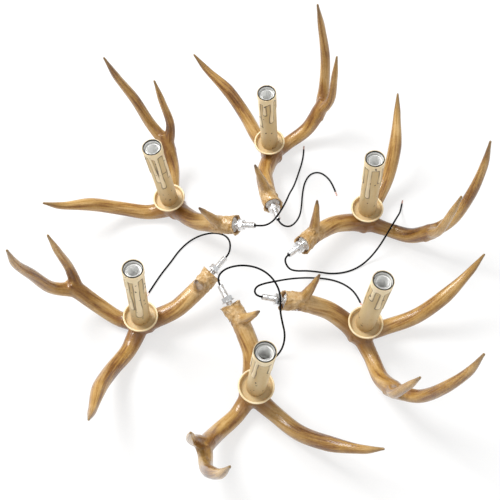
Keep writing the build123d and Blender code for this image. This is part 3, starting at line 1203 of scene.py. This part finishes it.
    def build(self) -> bpy.types.Mesh:
        """Builds the casting.

        Returns:
            The finished mesh in the arm's frame.
        """
        mesh = self.fuse(self.rough_out())
        self.carve(mesh)
        mesh = self.hollow(mesh)
        self.stain(mesh)
        return mesh

    def lay(self, casting: bpy.types.Mesh, place: ArmPlace) -> bpy.types.Object:
        """Lays one copy of the casting, flat where it rests.

        Args:
            casting: The casting in the arm's frame.
            place: Where the arm lies.

        Returns:
            The dressed piece.
        """
        mesh = casting.copy()
        mesh.name = f"antler_{place.name}"
        bm = bmesh.new()
        bm.from_mesh(mesh)
        bmesh.ops.transform(bm, matrix=place.matrix(), verts=bm.verts[:])
        for vert in bm.verts:
            vert.co.z = max(vert.co.z, self.rest)
        for face in bm.faces:
            face.smooth = True
        bm.to_mesh(mesh)
        bm.free()
        piece = object_of(mesh, f"antler_surface_{place.name}")
        return dress(piece, Finish.ANTLER, "arms", f"antler_{place.name}")


# ---------------------------------------------------------------- the candle

@dataclass(frozen=True)
class WaxRun:
    """A run of wax.

    Attributes:
        turn: Where it is round the candle, in degrees from the side that faces the front
            of the ring, positive to the right.
        width: Its width at its foot, in millimetres.
        length: How far it reaches below the candle's top, in millimetres.
        sway: How far it leans to the right on its way down, in millimetres.
    """

    turn: float
    width: float
    length: float
    sway: float = 0.0


RUNS: dict[str, Sequence[WaxRun]] = {
    "a": (WaxRun(-62, 5.4, 64, 1), WaxRun(-18, 4.2, 34), WaxRun(34, 5.0, 52, -2),
          WaxRun(82, 5.2, 30), WaxRun(150, 5.0, 70), WaxRun(215, 4.6, 40)),
    "b": (WaxRun(-30, 4.6, 72, 1), WaxRun(36, 4.4, 40, 2), WaxRun(-82, 5.6, 46),
          WaxRun(88, 5.0, 58), WaxRun(160, 5.2, 36), WaxRun(220, 4.6, 66)),
    "c": (WaxRun(-46, 5.0, 34, -1), WaxRun(2, 5.2, 50, 1), WaxRun(64, 5.2, 62),
          WaxRun(-104, 5.2, 60), WaxRun(130, 4.8, 38), WaxRun(200, 5.4, 52)),
    "d": (WaxRun(-38, 4.4, 58, -2), WaxRun(40, 7.0, 40, 2), WaxRun(92, 5.4, 56),
          WaxRun(-98, 5.2, 44), WaxRun(148, 5.0, 36), WaxRun(205, 4.8, 62)),
    "e": (WaxRun(-40, 4.8, 78, 2), WaxRun(14, 7.4, 96, -1), WaxRun(70, 5.0, 44),
          WaxRun(-96, 5.4, 42), WaxRun(134, 5.0, 60), WaxRun(198, 5.0, 38)),
    "f": (WaxRun(-22, 4.4, 60, 3), WaxRun(20, 4.6, 74, -2), WaxRun(-76, 5.6, 48),
          WaxRun(74, 5.2, 58), WaxRun(140, 4.8, 40), WaxRun(210, 5.2, 64)),
}


@dataclass
class Candle:
    """Dish, stem, lamp holder and sleeve of one arm, in metres.

    Attributes:
        boss_top: Height of the boss that the dish stands on.
        dish_r: Outer radius of the dish.
        dish_foot_r: Radius of its foot.
        dish_seat_r: Radius of the cup's floor.
        dish_ring_r: Radius of the line of painted shade round the cup's floor.
        dish_h: Its height.
        floor_t: Thickness of its floor.
        lip: Height of its lip.
        wall: Thickness of its wall.
        tube_r: Radius of the stem.
        sleeve_r: Outer radius of the sleeve.
        sleeve_wall: Its wall.
        sleeve_z: Height of its foot.
        sleeve_h: Its length.
        liner_wall: Wall of the liner, whose open edge carries painted shade.
        liner_proud: How far the liner stands out of the sleeve.
        holder_r: Radius of the lamp holder.
        holder_z: Height of its foot.
        holder_top: Height of its top.
        shell_r: Outer radius of the screw shell.
        shell_bore_r: Its bore.
        shell_z: Height of its foot.
        shell_proud: How far it stands out of the holder.
        contact_z: Height of the contact's foot.
        contact_half: Half the contact's width.
        skirt: How far the wax collar reaches below the top, in millimetres.
        skirt_wave: How unevenly it ends, in millimetres.
        stand: How far the wax stands out of the sleeve.
        soft: How softly the runs and the collar flow together, in millimetres.
    """

    boss_top: float = 0.041
    dish_r: float = 0.0215
    dish_foot_r: float = 0.0165
    dish_seat_r: float = 0.0178
    dish_ring_r: float = 0.0152
    dish_h: float = 0.0071
    floor_t: float = 0.0024
    lip: float = 0.0020
    wall: float = 0.0022
    tube_r: float = 0.0040
    sleeve_r: float = 0.0125
    sleeve_wall: float = 0.0013
    sleeve_z: float = 0.0435
    sleeve_h: float = 0.120
    liner_wall: float = 0.0008
    liner_proud: float = 0.0007
    holder_r: float = 0.0096
    holder_z: float = 0.105
    holder_top: float = 0.159
    shell_r: float = 0.0076
    shell_bore_r: float = 0.0070
    shell_z: float = 0.138
    shell_proud: float = 0.001
    contact_z: float = 0.130
    contact_half: float = 0.0024
    skirt: float = 10.0
    skirt_wave: float = 4.0
    stand: float = 0.00095
    soft: float = 1.6

    def dish(self) -> bpy.types.Mesh:
        """Makes the dish: a flared foot, a lip, and a flat-floored cup, with painted shade
        in a line round the cup's floor, low in the cup and under the foot.

        Returns:
            The dish in the arm's frame.
        """
        foot, top = self.boss_top, self.boss_top + self.dish_h
        seat = foot + self.floor_t
        outer, inner = self.dish_r, self.dish_r - self.wall
        corners = (
            (self.tube_r, foot), (self.dish_foot_r - 0.0006, foot),
            (self.dish_foot_r + 0.0012, foot + 0.0018), (outer - 0.0012, top - self.lip - 0.0006),
            (outer, top - self.lip), (outer, top), (inner, top), (self.dish_seat_r, seat),
            (self.tube_r, seat),
        )
        bm = bmesh.new()
        turned(bm, rounded(corners, 0.0009, 3), 96)
        for vert in bm.verts:
            radius, angle = polar(vert)
            if radius > self.dish_foot_r:
                widen(vert, 1 - 0.012 * (ring_noise(angle, 1.4, 0.7) + 1) / 2)
        mesh = mesh_of(bm, "dish", 50.0)
        tones = []
        for vert in mesh.vertices:
            radius, _ = polar(vert)
            # Painted shade: darker towards the cup's floor, under the foot, and in a line round the
            # cup's floor.
            cup = smoothstep(seat + 0.0035, seat, vert.co.z) if radius < inner + 0.0004 else 0.0
            under = 1 - smoothstep(foot, foot + 0.003, vert.co.z)
            ring = math.exp(-((radius - self.dish_ring_r) / 0.0012) ** 2)
            ring *= vert.co.z < seat + 0.0006
            rim = smoothstep(inner - 0.0004, inner + 0.0006, radius) * smoothstep(
                top - 0.0006, top - 0.0001, vert.co.z)
            tones.append((0.55 * ring, min(1.0, 0.35 * cup + 0.7 * under), 0.15 + 0.7 * rim))
        paint(mesh, "stain", tones)
        return mesh

    def sleeve(self, place: ArmPlace) -> bpy.types.Mesh:
        """Makes the wax sleeve of one arm.

        Args:
            place: Where the arm lies, which says how its runs are turned.

        Returns:
            The sleeve in the arm's frame.
        """
        rows, around = 200, 132
        top, foot = self.sleeve_z + self.sleeve_h, self.sleeve_z
        skin = self.sleeve_r - self.stand
        inner = self.sleeve_r - self.sleeve_wall + 0.00002
        profile = [(skin, foot + 0.0008 + (self.sleeve_h - 0.0020) * k / rows)
                   for k in range(rows + 1)]
        profile += [
            (skin - 0.00003, top - 0.0006), (inner + 0.0003, top - 0.0001), (inner, top - 0.0005),
            (inner, foot + 0.001), (inner + 0.0001, foot), (skin - 0.0001, foot),
        ]
        bm = bmesh.new()
        turned(bm, profile, around)
        seed = self.seed(place)
        tints_and_shades: list[Point] = []
        for vert in bm.verts:
            radius, angle = polar(vert)
            drop = (top - vert.co.z) / MM
            if radius < skin - 0.00005:
                # Inner wall: painted shade on its top millimetre, and a little of the browner tint.
                tints_and_shades.append((0.55 * (drop < 1.0), 0.3, 0.6))
                continue
            out, crease = self.wax(angle, drop, place)
            lump = ring_noise(angle, 1.6, vert.co.z * 70.0 + seed)
            widen(vert, 1 + out * (0.85 + 0.15 * lump) / radius)
            # Browner towards the sleeve's foot; the crease is painted shade along the wax's edges,
            # merged with the dark pits in spot.
            low = 1 - smoothstep(foot + 0.002, foot + 0.055, vert.co.z)
            spot = smoothstep(0.56, 0.64, ring_noise(angle, 3.4, vert.co.z * 230.0, seed))
            tints_and_shades.append((max(crease, spot), low, out / self.stand))
        mesh = mesh_of(bm, "sleeve", 60.0)
        paint(mesh, "stain", tints_and_shades)
        return mesh

    @staticmethod
    def seed(place: ArmPlace) -> float:
        """Returns the shift of the noises on one arm's sleeve."""
        return ord(place.name) * 3.7

    def wax(self, angle: float, drop: float, place: ArmPlace) -> Pair:
        """Works out the wax at a spot on the sleeve.

        Args:
            angle: Turn round the candle in the arm's frame, in radians.
            drop: Distance below the sleeve's top, in millimetres.
            place: Where the arm lies.

        Returns:
            How far the wax stands out, in metres, and how much painted shade its crease gets, from 0
            to 1.
        """
        seed = self.seed(place)
        front = angle + math.radians(place.heading + 90.0)
        collar = self.skirt + self.skirt_wave * ring_noise(angle, 1.6, 0.0, seed)
        gap, under = drop - collar, 1.0
        for run in RUNS[place.name]:
            turn = (front - math.radians(run.turn) + math.pi) % FULL_TURN - math.pi
            fall = min(1.0, drop / run.length)
            wander = noise.noise(Vector((drop * 0.06, run.turn + seed, 0.0))) * 0.7
            side = turn * (self.sleeve_r / MM) - run.sway * fall + wander
            half = run.width / 2 * (0.80 + 0.28 * smoothstep(0.5, 0.95, fall))
            low = max(0.0, drop - (run.length - half))
            reach = math.hypot(side, low)
            near = reach - half
            mix = max(0.0, min(1.0, 0.5 + (gap - near) / (2 * self.soft)))
            gap = gap * (1 - mix) + near * mix - self.soft * mix * (1 - mix)
            under = under * (1 - mix) + low / (reach + TINY) * mix
        out = smoothstep(0.75, -0.75, gap) * self.stand
        # Painted shade: a dark line just outside the edge of the collar and the runs, wider and
        # further out where the wax overhangs.
        crease = math.exp(-((gap - 0.6 - 0.5 * under) / (0.55 + 0.75 * under)) ** 2)
        fade = 0.80 + 0.9 * ring_noise(angle, 1.5, drop * 0.07, seed)
        return out, crease * min(1.0, max(0.0, fade))

    def liner(self) -> bpy.types.Mesh:
        """Makes the liner, whose painted shade, a dark band at its edge, shows at the sleeve's top.

        Returns:
            The liner in the arm's frame.
        """
        outer = self.sleeve_r - self.sleeve_wall - 0.00001
        inner = outer - self.liner_wall
        top = self.sleeve_z + self.sleeve_h + self.liner_proud
        dark, pale = top - 0.0018, top - 0.0026
        mesh = lathed("liner", (
            (inner, self.sleeve_z), (outer, self.sleeve_z), (outer, top - 0.0003),
            (outer - 0.0002, top), (inner + 0.0002, top), (inner, top - 0.0003),
            (inner, dark), (inner, pale), (inner, top - 0.0050)), 96)
        # Painted shade: dark on the top edge and down the inner wall to about two millimetres below
        # it, with a wavy lower edge.
        edges = []
        for vert in mesh.vertices:
            shade_edge_wobble = 0.0004 * ring_noise(polar(vert)[1], 1.2, 5.0)
            edges.append((smoothstep(pale, dark, vert.co.z + shade_edge_wobble), 0.0, 0.0))
        paint(mesh, "edge", edges)
        return mesh

    def holder(self) -> bpy.types.Mesh:
        """Makes the white lamp holder, shouldered at the top and bored for the shell.

        Returns:
            The holder in the arm's frame.
        """
        top, foot = self.holder_top, self.holder_z
        outer, neck, bore = self.holder_r, self.holder_r - 0.0006, self.shell_r
        corners = (
            (self.tube_r, foot), (outer - 0.0008, foot), (outer, foot + 0.002),
            (outer, foot + 0.020), (neck, foot + 0.021), (neck, foot + 0.025),
            (outer, foot + 0.026), (outer, top - 0.0010), (outer - 0.0010, top), (bore, top),
            (bore, self.contact_z), (self.tube_r, self.contact_z), (self.tube_r, foot + 0.004),
        )
        return lathed("holder", rounded(corners, 0.0004), 80, 40.0)

    def shell(self) -> bpy.types.Mesh:
        """Makes the screw shell: thin plated metal rolled into the lamp's thread.

        Returns:
            The shell in the arm's frame.
        """
        top, foot = self.holder_top + self.shell_proud, self.shell_z
        rows, pitch = 44, 0.0026
        middle = (self.shell_bore_r + self.shell_r) / 2
        heights = [foot + (top - foot) * k / rows for k in range(rows + 1)]
        profile = [(self.shell_bore_r + 0.00005, height) for height in heights]
        profile += [(self.shell_r - 0.00003, height) for height in reversed(heights)]
        bm = bmesh.new()
        turned(bm, profile, 64)
        for vert in bm.verts:
            radius, angle = polar(vert)
            wave = math.sin(FULL_TURN * ((vert.co.z - foot) / pitch - angle / FULL_TURN))
            ease = smoothstep(foot, foot + 0.003, vert.co.z) * (
                1 - smoothstep(top - 0.003, top - 0.001, vert.co.z))
            target = middle - 0.00013 + 0.00028 * ((wave * 0.5 + 0.5) * ease)
            target += 0.00012 if radius > middle else -0.00012
            widen(vert, target / radius)
        return mesh_of(bm, "shell", 50.0)

    def contact(self) -> bpy.types.Mesh:
        """Makes the sprung contact at the bottom of the lamp holder.

        Returns:
            The contact in the arm's frame.
        """
        bm = bmesh.new()
        path = ((-0.0050, 0.0004), (-0.0020, 0.0004), (-0.0040, 0.0012), (-0.0030, 0.0032),
                (-0.0010, 0.0052), (0.0006, 0.0056))
        verts = [bm.verts.new((x, -self.contact_half * (1 - 0.25 * k / 5), self.contact_z + z))
                 for k, (x, z) in enumerate(path)]
        edges = [bm.edges.new(pair) for pair in zip(verts, verts[1:])]
        for vert in new_verts(bmesh.ops.extrude_edge_only(bm, edges=edges)["geom"]):
            vert.co.y = -vert.co.y
        bmesh.ops.solidify(bm, geom=bm.faces[:], thickness=0.0004)
        bmesh.ops.bevel(bm, geom=bm.edges[:], offset=0.00008, offset_type="OFFSET", segments=1,
                        affect="EDGES", profile=0.5, material=-1)
        bmesh.ops.recalc_face_normals(bm, faces=bm.faces)
        return mesh_of(bm, "contact", 50.0)

    def stem(self) -> bpy.types.Mesh:
        """Returns the threaded stem that carries dish, nut and holder."""
        return threaded_tube(self.tube_r, 0.0026, self.boss_top - 0.014, self.holder_z + 0.010,
                             0.0014, 64, 40)

    def stem_nut(self) -> bpy.types.Mesh:
        """Returns the nut that clamps the dish."""
        return hex_nut(0.0065, self.tube_r + 0.00002, self.boss_top + self.floor_t, 0.0048)


def threaded_tube(radius: float, bore: float, low: float, high: float, pitch: float,
                  segments: int, rows: int) -> bpy.types.Mesh:
    """Makes a tube along Z with a rolled thread.

    Args:
        radius: Radius over the thread's crests.
        bore: Radius of the bore.
        low: Height of its lower end.
        high: Height of its upper end.
        pitch: Height of one turn of the thread.
        segments: Steps round the tube.
        rows: Steps along it.

    Returns:
        The mesh.
    """
    lead_in, depth = 0.0006, 0.00042
    outer = [(radius, low + lead_in + (high - low - 2 * lead_in) * k / rows)
             for k in range(rows + 1)]
    ends = [(bore, low), (radius - lead_in, low)], [(radius - lead_in, high), (bore, high)]
    bm = bmesh.new()
    turned(bm, ends[0] + outer + ends[1], segments)
    for vert in bm.verts:
        spin, angle = polar(vert)
        if spin >= radius - lead_in / 2:
            saw = abs(((vert.co.z - low) / pitch - angle / FULL_TURN) % 1.0 - 0.5) * 2
            widen(vert, (radius - depth * saw) / spin)
    return mesh_of(bm, "tube", 60.0)


def hex_nut(half_flats: float, bore: float, low: float, thick: float) -> bpy.types.Mesh:
    """Makes a hexagon nut with turned-down corners.

    Args:
        half_flats: Half the width across the flats.
        bore: Radius of its bore.
        low: Height of its lower face.
        thick: Its thickness.

    Returns:
        The mesh.
    """
    corner = half_flats / math.cos(math.pi / 6)
    bm = bmesh.new()
    ring = bmesh.ops.create_circle(bm, cap_ends=True, segments=6, radius=corner,
                                   matrix=Matrix.Translation((0, 0, low)))
    grown = bmesh.ops.extrude_face_region(bm, geom=list(ring["verts"][0].link_faces))["geom"]
    bmesh.ops.translate(bm, vec=(0, 0, thick), verts=new_verts(grown))
    bmesh.ops.recalc_face_normals(bm, faces=bm.faces)
    body = object_of(mesh_of(bm, "hex"), "hex")
    trim, rim, broken = (corner - half_flats) * 1.05 * 0.58, corner + 0.0001, 0.0004
    lathe = object_of(lathed("lathe", (
        (bore + broken, low), (half_flats, low), (rim, low + trim), (rim, low + thick - trim),
        (half_flats, low + thick), (bore + broken, low + thick), (bore, low + thick - broken),
        (bore, low + broken)), 64, 35.0), "lathe")
    keep = body.modifiers.new("trim", "BOOLEAN")
    keep.operation = "INTERSECT"
    keep.solver = "EXACT"
    keep.object = lathe
    mesh = bake(body, "nut")
    bpy.data.objects.remove(lathe)
    mesh.set_sharp_from_angle(angle=math.radians(25))
    for polygon in mesh.polygons:
        polygon.use_smooth = True
    return mesh


# ---------------------------------------------------------------- the base fittings

@dataclass
class BaseFittings:
    """Plug, threaded tube, washer and nut in the antler's base, in metres.

    Heights are measured outward from the cut end face.

    Attributes:
        plug_r: Radius of the poured plug.
        plug_low: Height of its inner face.
        plug_high: Height of its outer face at the tube.
        tube_r: Radius of the tube.
        bore_r: Radius of its bore.
        tube_out: Height of its outer end.
        washer_r: Radius of the washer.
        washer_low: Height of its inner face.
        washer_t: Its thickness.
        nut_low: Height of the nut's inner face.
        nut_t: Its thickness.
        half_flats: Half the width across its flats.
    """

    plug_r: float = 0.0096
    plug_low: float = -0.015
    plug_high: float = -0.003
    tube_r: float = 0.0040
    bore_r: float = 0.0026
    tube_out: float = 0.0259
    washer_r: float = 0.0080
    washer_low: float = 0.0034
    washer_t: float = 0.0016
    nut_low: float = 0.0051
    nut_t: float = 0.0048
    half_flats: float = 0.0065

    def frame(self) -> Matrix:
        """Returns the base face's frame, with Z outward, in the arm's frame."""
        return Matrix.Translation(BASE_CENTRE * MM) @ BASE_TURN

    def plug(self) -> bpy.types.Mesh:
        """Makes the poured white plug, dished from the tube to its edge.

        Returns:
            The plug in the base's frame.
        """
        low, high = self.plug_low, self.plug_high
        corners = ((self.tube_r, low), (self.plug_r, low), (self.plug_r, high - 0.0010),
                   (self.plug_r - 0.0012, high - 0.0022), (self.tube_r + 0.0016, high - 0.0018),
                   (self.tube_r, high))
        return lathed("plug", rounded(corners, 0.0005), 48)

    def tube(self) -> bpy.types.Mesh:
        """Returns the threaded tube."""
        return threaded_tube(self.tube_r, self.bore_r, self.plug_low, self.tube_out, 0.0010, 40, 164)

    def washer(self) -> bpy.types.Mesh:
        """Makes the flat washer with its edges broken.

        Returns:
            The washer in the base's frame.
        """
        low, high, bore = self.washer_low, self.washer_low + self.washer_t, self.tube_r + 0.0001
        corners = ((bore, low), (self.washer_r, low), (self.washer_r, high), (bore, high))
        return lathed("washer", rounded(corners, 0.0003), 64)

    def nut(self) -> bpy.types.Mesh:
        """Returns the hexagon nut."""
        return hex_nut(self.half_flats, self.tube_r + 0.00005, self.nut_low, self.nut_t)


# ---------------------------------------------------------------- the leads

TENTH_MM = 0.0001

# Points of each lead from the base tube to its far end, in tenths of a millimetre.
ROUTES: dict[str, Sequence[tuple[int, int, int]]] = {
    "a": (
        (287, 675, 386), (300, 618, 397), (373, 566, 380), (463, 616, 310), (543, 756, 220),
        (603, 936, 110), (633, 1136, 30), (653, 1356, 12), (693, 1566, 12), (783, 1716, 12),
        (913, 1746, 12), (1023, 1656, 12), (1093, 1516, 12), (1123, 1396, 12),
    ),
    "b": (
        (407, 86, 454), (366, 45, 467), (358, -24, 450), (413, -84, 380), (513, -54, 280),
        (653, 26, 150), (813, 66, 50), (983, 56, 13), (1173, 76, 12), (1343, 146, 12),
        (1493, 256, 40), (1623, 376, 150), (1733, 526, 250), (1833, 686, 280), (1913, 836, 220),
        (1973, 966, 100), (2013, 1076, 24), (2043, 1186, 13),
    ),
    "c": (
        (59, -624, 649), (2, -624, 669), (-37, -564, 670), (-7, -474, 640), (93, -394, 570),
        (233, -304, 460), (393, -194, 320), (553, -94, 170), (723, -24, 50), (903, -14, 12),
        (1063, -54, 12), (1203, -134, 12), (1303, -254, 12), (1343, -374, 12),
    ),
    "d": (
        (-449, -502, 718), (-476, -454, 742), (-457, -364, 760), (-357, -284, 770),
        (-177, -244, 765), (13, -274, 750), (163, -374, 730), (253, -514, 700), (283, -654, 680),
        (273, -774, 600), (303, -874, 470), (343, -964, 310), (323, -1054, 150), (253, -1124, 40),
        (173, -1174, 14), (93, -1214, 13),
    ),
    "e": (
        (-397, 5, 516), (-357, 47, 533), (-337, 146, 530), (-347, 286, 460), (-397, 426, 360),
        (-487, 546, 240), (-617, 626, 130), (-767, 636, 50), (-917, 566, 13), (-1047, 416, 12),
        (-1147, 236, 12), (-1257, 66, 12), (-1347, -104, 12), (-1407, -224, 12),
    ),
    "f": (
        (-24, 404, 650), (30, 387, 672), (113, 406, 650), (203, 496, 600), (273, 626, 550),
        (343, 776, 510), (403, 936, 460), (453, 1136, 340), (513, 1336, 190), (563, 1536, 70),
        (613, 1726, 16), (663, 1896, 12), (693, 2046, 12), (703, 2156, 12),
    ),
}


@dataclass
class Lead:
    """One black two-core lead from the base tube to its two bare tips, in metres.

    Attributes:
        arm: The arm's letter.
        radius: The lead's radius.
        core_r: The radius of a core.
        spacing: How far apart the two cores are.
        tip: How far the cores stand out.
    """

    arm: str
    radius: float = 0.0012
    core_r: float = 0.0005
    spacing: float = 0.0011
    tip: float = 0.0070

    def route(self) -> list[Point]:
        """Returns the points of the lead's route, in metres."""
        return [tuple(round(c * TENTH_MM, 4) for c in spot) for spot in ROUTES[self.arm]]

    def curve(self) -> bpy.types.Object:
        """Makes the lead as one open spline along its route.

        Returns:
            The dressed lead.
        """
        route = self.route()
        data = bpy.data.curves.new(f"lead_{self.arm}", "CURVE")
        data.dimensions = "3D"
        data.bevel_depth = self.radius
        data.bevel_resolution = 3
        data.resolution_u = 12
        data.use_fill_caps = True
        spline = data.splines.new("NURBS")
        spline.points.add(len(route) - 1)
        for point, spot in zip(spline.points, route):
            point.co = (*spot, 1.0)
        spline.order_u = 3
        spline.use_endpoint_u = True
        piece = object_of(data, f"lead_cord_{self.arm}")
        return dress(piece, Finish.LEAD, "arms", f"lead_{self.arm}")

    def tips(self) -> bpy.types.Object:
        """Makes the two bare cores at the lead's end.

        Returns:
            The dressed cores.
        """
        before, last = (Vector(spot) for spot in self.route()[-2:])
        along = (last - before).normalized()
        side = Vector((0, 0, 1)).cross(along).normalized()
        core, root, end = self.core_r, -0.0008, self.tip - 0.0001
        profile = ((0.0, root), (core * 0.9, root), (core * 0.9, 0.0),
                   (core * 0.86, self.tip * 0.3), (core * 0.9, self.tip * 0.6),
                   (core * 0.8, self.tip - 0.0004), (core * 0.45, end), (0.0, end))
        bm = bmesh.new()
        for offset in (-self.spacing / 2, self.spacing / 2):
            start = len(bm.verts)
            turned(bm, profile, 16, closed=False)
            bm.verts.ensure_lookup_table()
            bmesh.ops.translate(bm, vec=(offset, 0, 0), verts=bm.verts[start:])
        place = framed(side, along.cross(side), along, last)
        bmesh.ops.transform(bm, matrix=place, verts=bm.verts[:])
        piece = object_of(mesh_of(bm, f"tips_{self.arm}"), f"lead_strands_{self.arm}")
        return dress(piece, Finish.COPPER, "arms", "lead_tips")

    def build(self) -> None:
        tips = self.tips()
        cord = self.curve()


# ---------------------------------------------------------------- the studio

@dataclass(frozen=True)
class Lamp:
    """A square lamp that points at the middle of the ring.

    Attributes:
        name: Its name.
        spot: Its place.
        size: Its side, in metres.
        power: Its power, in watts.
    """

    name: str
    spot: Point
    size: float
    power: float

    def hang(self) -> None:
        """Puts the lamp in the scene."""
        data = bpy.data.lights.new(self.name, "AREA")
        data.size = self.size
        data.energy = self.power
        lamp = object_of(data, self.name)
        lamp.location = self.spot
        lamp.rotation_euler = (-Vector(self.spot)).to_track_quat("-Z", "Y").to_euler()


@dataclass
class Studio:
    """Pale floor, soft light from the upper left, and the photograph's camera.

    Attributes:
        eye: The camera's place, in metres.
        tilt: Its angle from straight down, in degrees.
        lens: Its focal length, in millimetres.
        floor: The floor's side, in metres.
        white: How pale the floor is.
        glow: How much of pure white the floor shows to the camera and in gloss.
        sky: Strength of the light from all round.
        lamps: The lamps.
    """

    eye: Point = (-0.0087012, -0.490567, 0.8733)
    tilt: float = 31.45
    lens: float = 54.5
    floor: float = 6.0
    white: float = 0.93
    glow: float = 0.66
    sky: float = 0.55
    lamps: Sequence[Lamp] = (Lamp("key", (-0.9, 0.55, 1.5), 0.8, 36.0),
                             Lamp("fill", (1.2, -0.8, 1.6), 1.6, 6.0))

    def camera(self) -> None:
        """Sets the camera at the photograph's angle."""
        data = bpy.data.cameras.new("view")
        data.lens = self.lens
        data.sensor_width = 36.0
        data.clip_start = 0.01
        camera = object_of(data, "view")
        camera.location = self.eye
        camera.rotation_euler = (math.radians(self.tilt), 0, 0)
        bpy.context.scene.camera = camera

    def lay_floor(self) -> None:
        """Lays a white floor that keeps soft shadows and shows white behind gloss."""
        bm = bmesh.new()
        bmesh.ops.create_grid(bm, x_segments=2, y_segments=2, size=self.floor / 2)
        floor = object_of(mesh_of(bm, "floor"), "floor")
        made = Nodes("floor_white")
        matt = made.add("BsdfDiffuse", {"Color": (self.white,) * 3})
        glow = made.add("Emission", {"Color": (1, 1, 1)})
        path = made.add("LightPath", {}).outputs
        seen = made.math("MAXIMUM", path["Is Camera Ray"], path["Is Glossy Ray"])
        mix = made.add("MixShader", {0: made.times(seen, self.glow), 1: matt.outputs[0],
                                     2: glow.outputs[0]})
        made.tree.links.new(mix.outputs[0], made.tree.nodes["Material Output"].inputs[0])
        made.tree.nodes.remove(made.shader)
        floor.data.materials.append(made.material)

    def light(self) -> None:
        """Lights the arms from the upper left, with a soft fill from all round."""
        for lamp in self.lamps:
            lamp.hang()
        world = bpy.data.worlds.new("pale")
        world.use_nodes = True
        back = world.node_tree.nodes["Background"]
        back.inputs["Color"].default_value = (1.0, 1.0, 1.0, 1)
        back.inputs["Strength"].default_value = self.sky
        bpy.context.scene.world = world

    def build(self) -> None:
        """Builds camera, floor and lights."""
        self.camera()
        self.lay_floor()
        self.light()
        bpy.context.scene.view_settings.view_transform = "Standard"


# ---------------------------------------------------------------- all together

@dataclass
class AntlerArms:
    """The six arms with their fittings."""

    casting: AntlerCasting = field(default_factory=AntlerCasting)
    candle: Candle = field(default_factory=Candle)
    base: BaseFittings = field(default_factory=BaseFittings)

    def antlers(self) -> None:
        """Lays the six castings."""
        mesh = self.casting.build()
        log.info("casting: %d vertices", len(mesh.vertices))
        for place in PLACES:
            self.casting.lay(mesh, place)

    def own(self, mesh: bpy.types.Mesh, finish: Finish, name: str, node: str, body: str,
            inner: Matrix = Matrix.Identity(4)) -> None:
        """Lays a piece on each arm as its own object.

        Args:
            mesh: The piece in the arm's frame, before inner.
            finish: Its finish.
            name: The start of the objects' names.
            node: The start of the CAD nodes' names.
            body: The start of the bodies' names, or arms.
            inner: The piece's place in the arm's frame.
        """
        for place in PLACES:
            piece = laid(mesh, [place.matrix() @ inner], f"{name}_{place.name}")
            rides = body if body == "arms" else f"{body}_{place.name}"
            dress(piece, finish, rides, f"{node}_{place.name}")

    def shared(self, mesh: bpy.types.Mesh, finish: Finish, name: str, node: str,
               inner: Matrix = Matrix.Identity(4)) -> None:
        """Lays a small piece on every arm as one object, as its CAD node is.

        Args:
            mesh: The piece in the arm's frame, before inner.
            finish: Its finish.
            name: The object's name.
            node: The CAD node's name.
            inner: The piece's place in the arm's frame.
        """
        piece = laid(mesh, [place.matrix() @ inner for place in PLACES], name)
        dress(piece, finish, "arms", node)

    def candles(self) -> None:
        """Builds the dishes, sleeves, holders and what is in them."""
        candle = self.candle
        self.own(candle.dish(), Finish.WAX, "dish", "drip_pan", "arms")
        for place in PLACES:
            piece = laid(candle.sleeve(place), [place.matrix()], f"wax_sleeve_{place.name}")
            dress(piece, Finish.WAX, f"candle_{place.name}", f"candle_sleeve_{place.name}")
        self.own(candle.liner(), Finish.LINER, "liner", "sleeve_liner", "candle")
        self.own(candle.holder(), Finish.HOLDER, "holder", "lamp_holder", "arms")
        self.shared(candle.shell(), Finish.SHELL, "shells", "screw_shells")
        self.shared(candle.contact(), Finish.CONTACT, "contacts", "centre_contacts")
        self.shared(candle.stem(), Finish.STEEL, "stems", "stem_nipples")
        self.shared(candle.stem_nut(), Finish.STEEL, "dish_nuts", "stem_nuts")

    def fittings(self) -> None:
        """Builds the plugs, tubes, washers and nuts of the bases."""
        inner = self.base.frame()
        self.shared(self.base.plug(), Finish.PLUG, "plugs", "base_plugs", inner)
        self.shared(self.base.tube(), Finish.STEEL, "tubes", "arm_nipples", inner)
        self.shared(self.base.washer(), Finish.STEEL, "flat_washers", "washers", inner)
        self.own(self.base.nut(), Finish.STEEL, "nut", "hex_nut", "nut", inner)

    def leads(self) -> None:
        """Builds the leads, and gives the cores inside the bases their finish."""
        for place in PLACES:
            Lead(place.name).build()
        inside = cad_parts["inner_leads"]
        inside.data.materials.clear()
        inside.data.materials.append(Finish.LEAD.material())

    def build(self) -> None:
        """Builds all the pieces."""
        self.leads()
        self.antlers()
        self.candles()
        self.fittings()


def main() -> None:
    """Builds the studio and the arms."""
    Studio().build()
    AntlerArms().build()


if __name__ == "__main__":
    main()
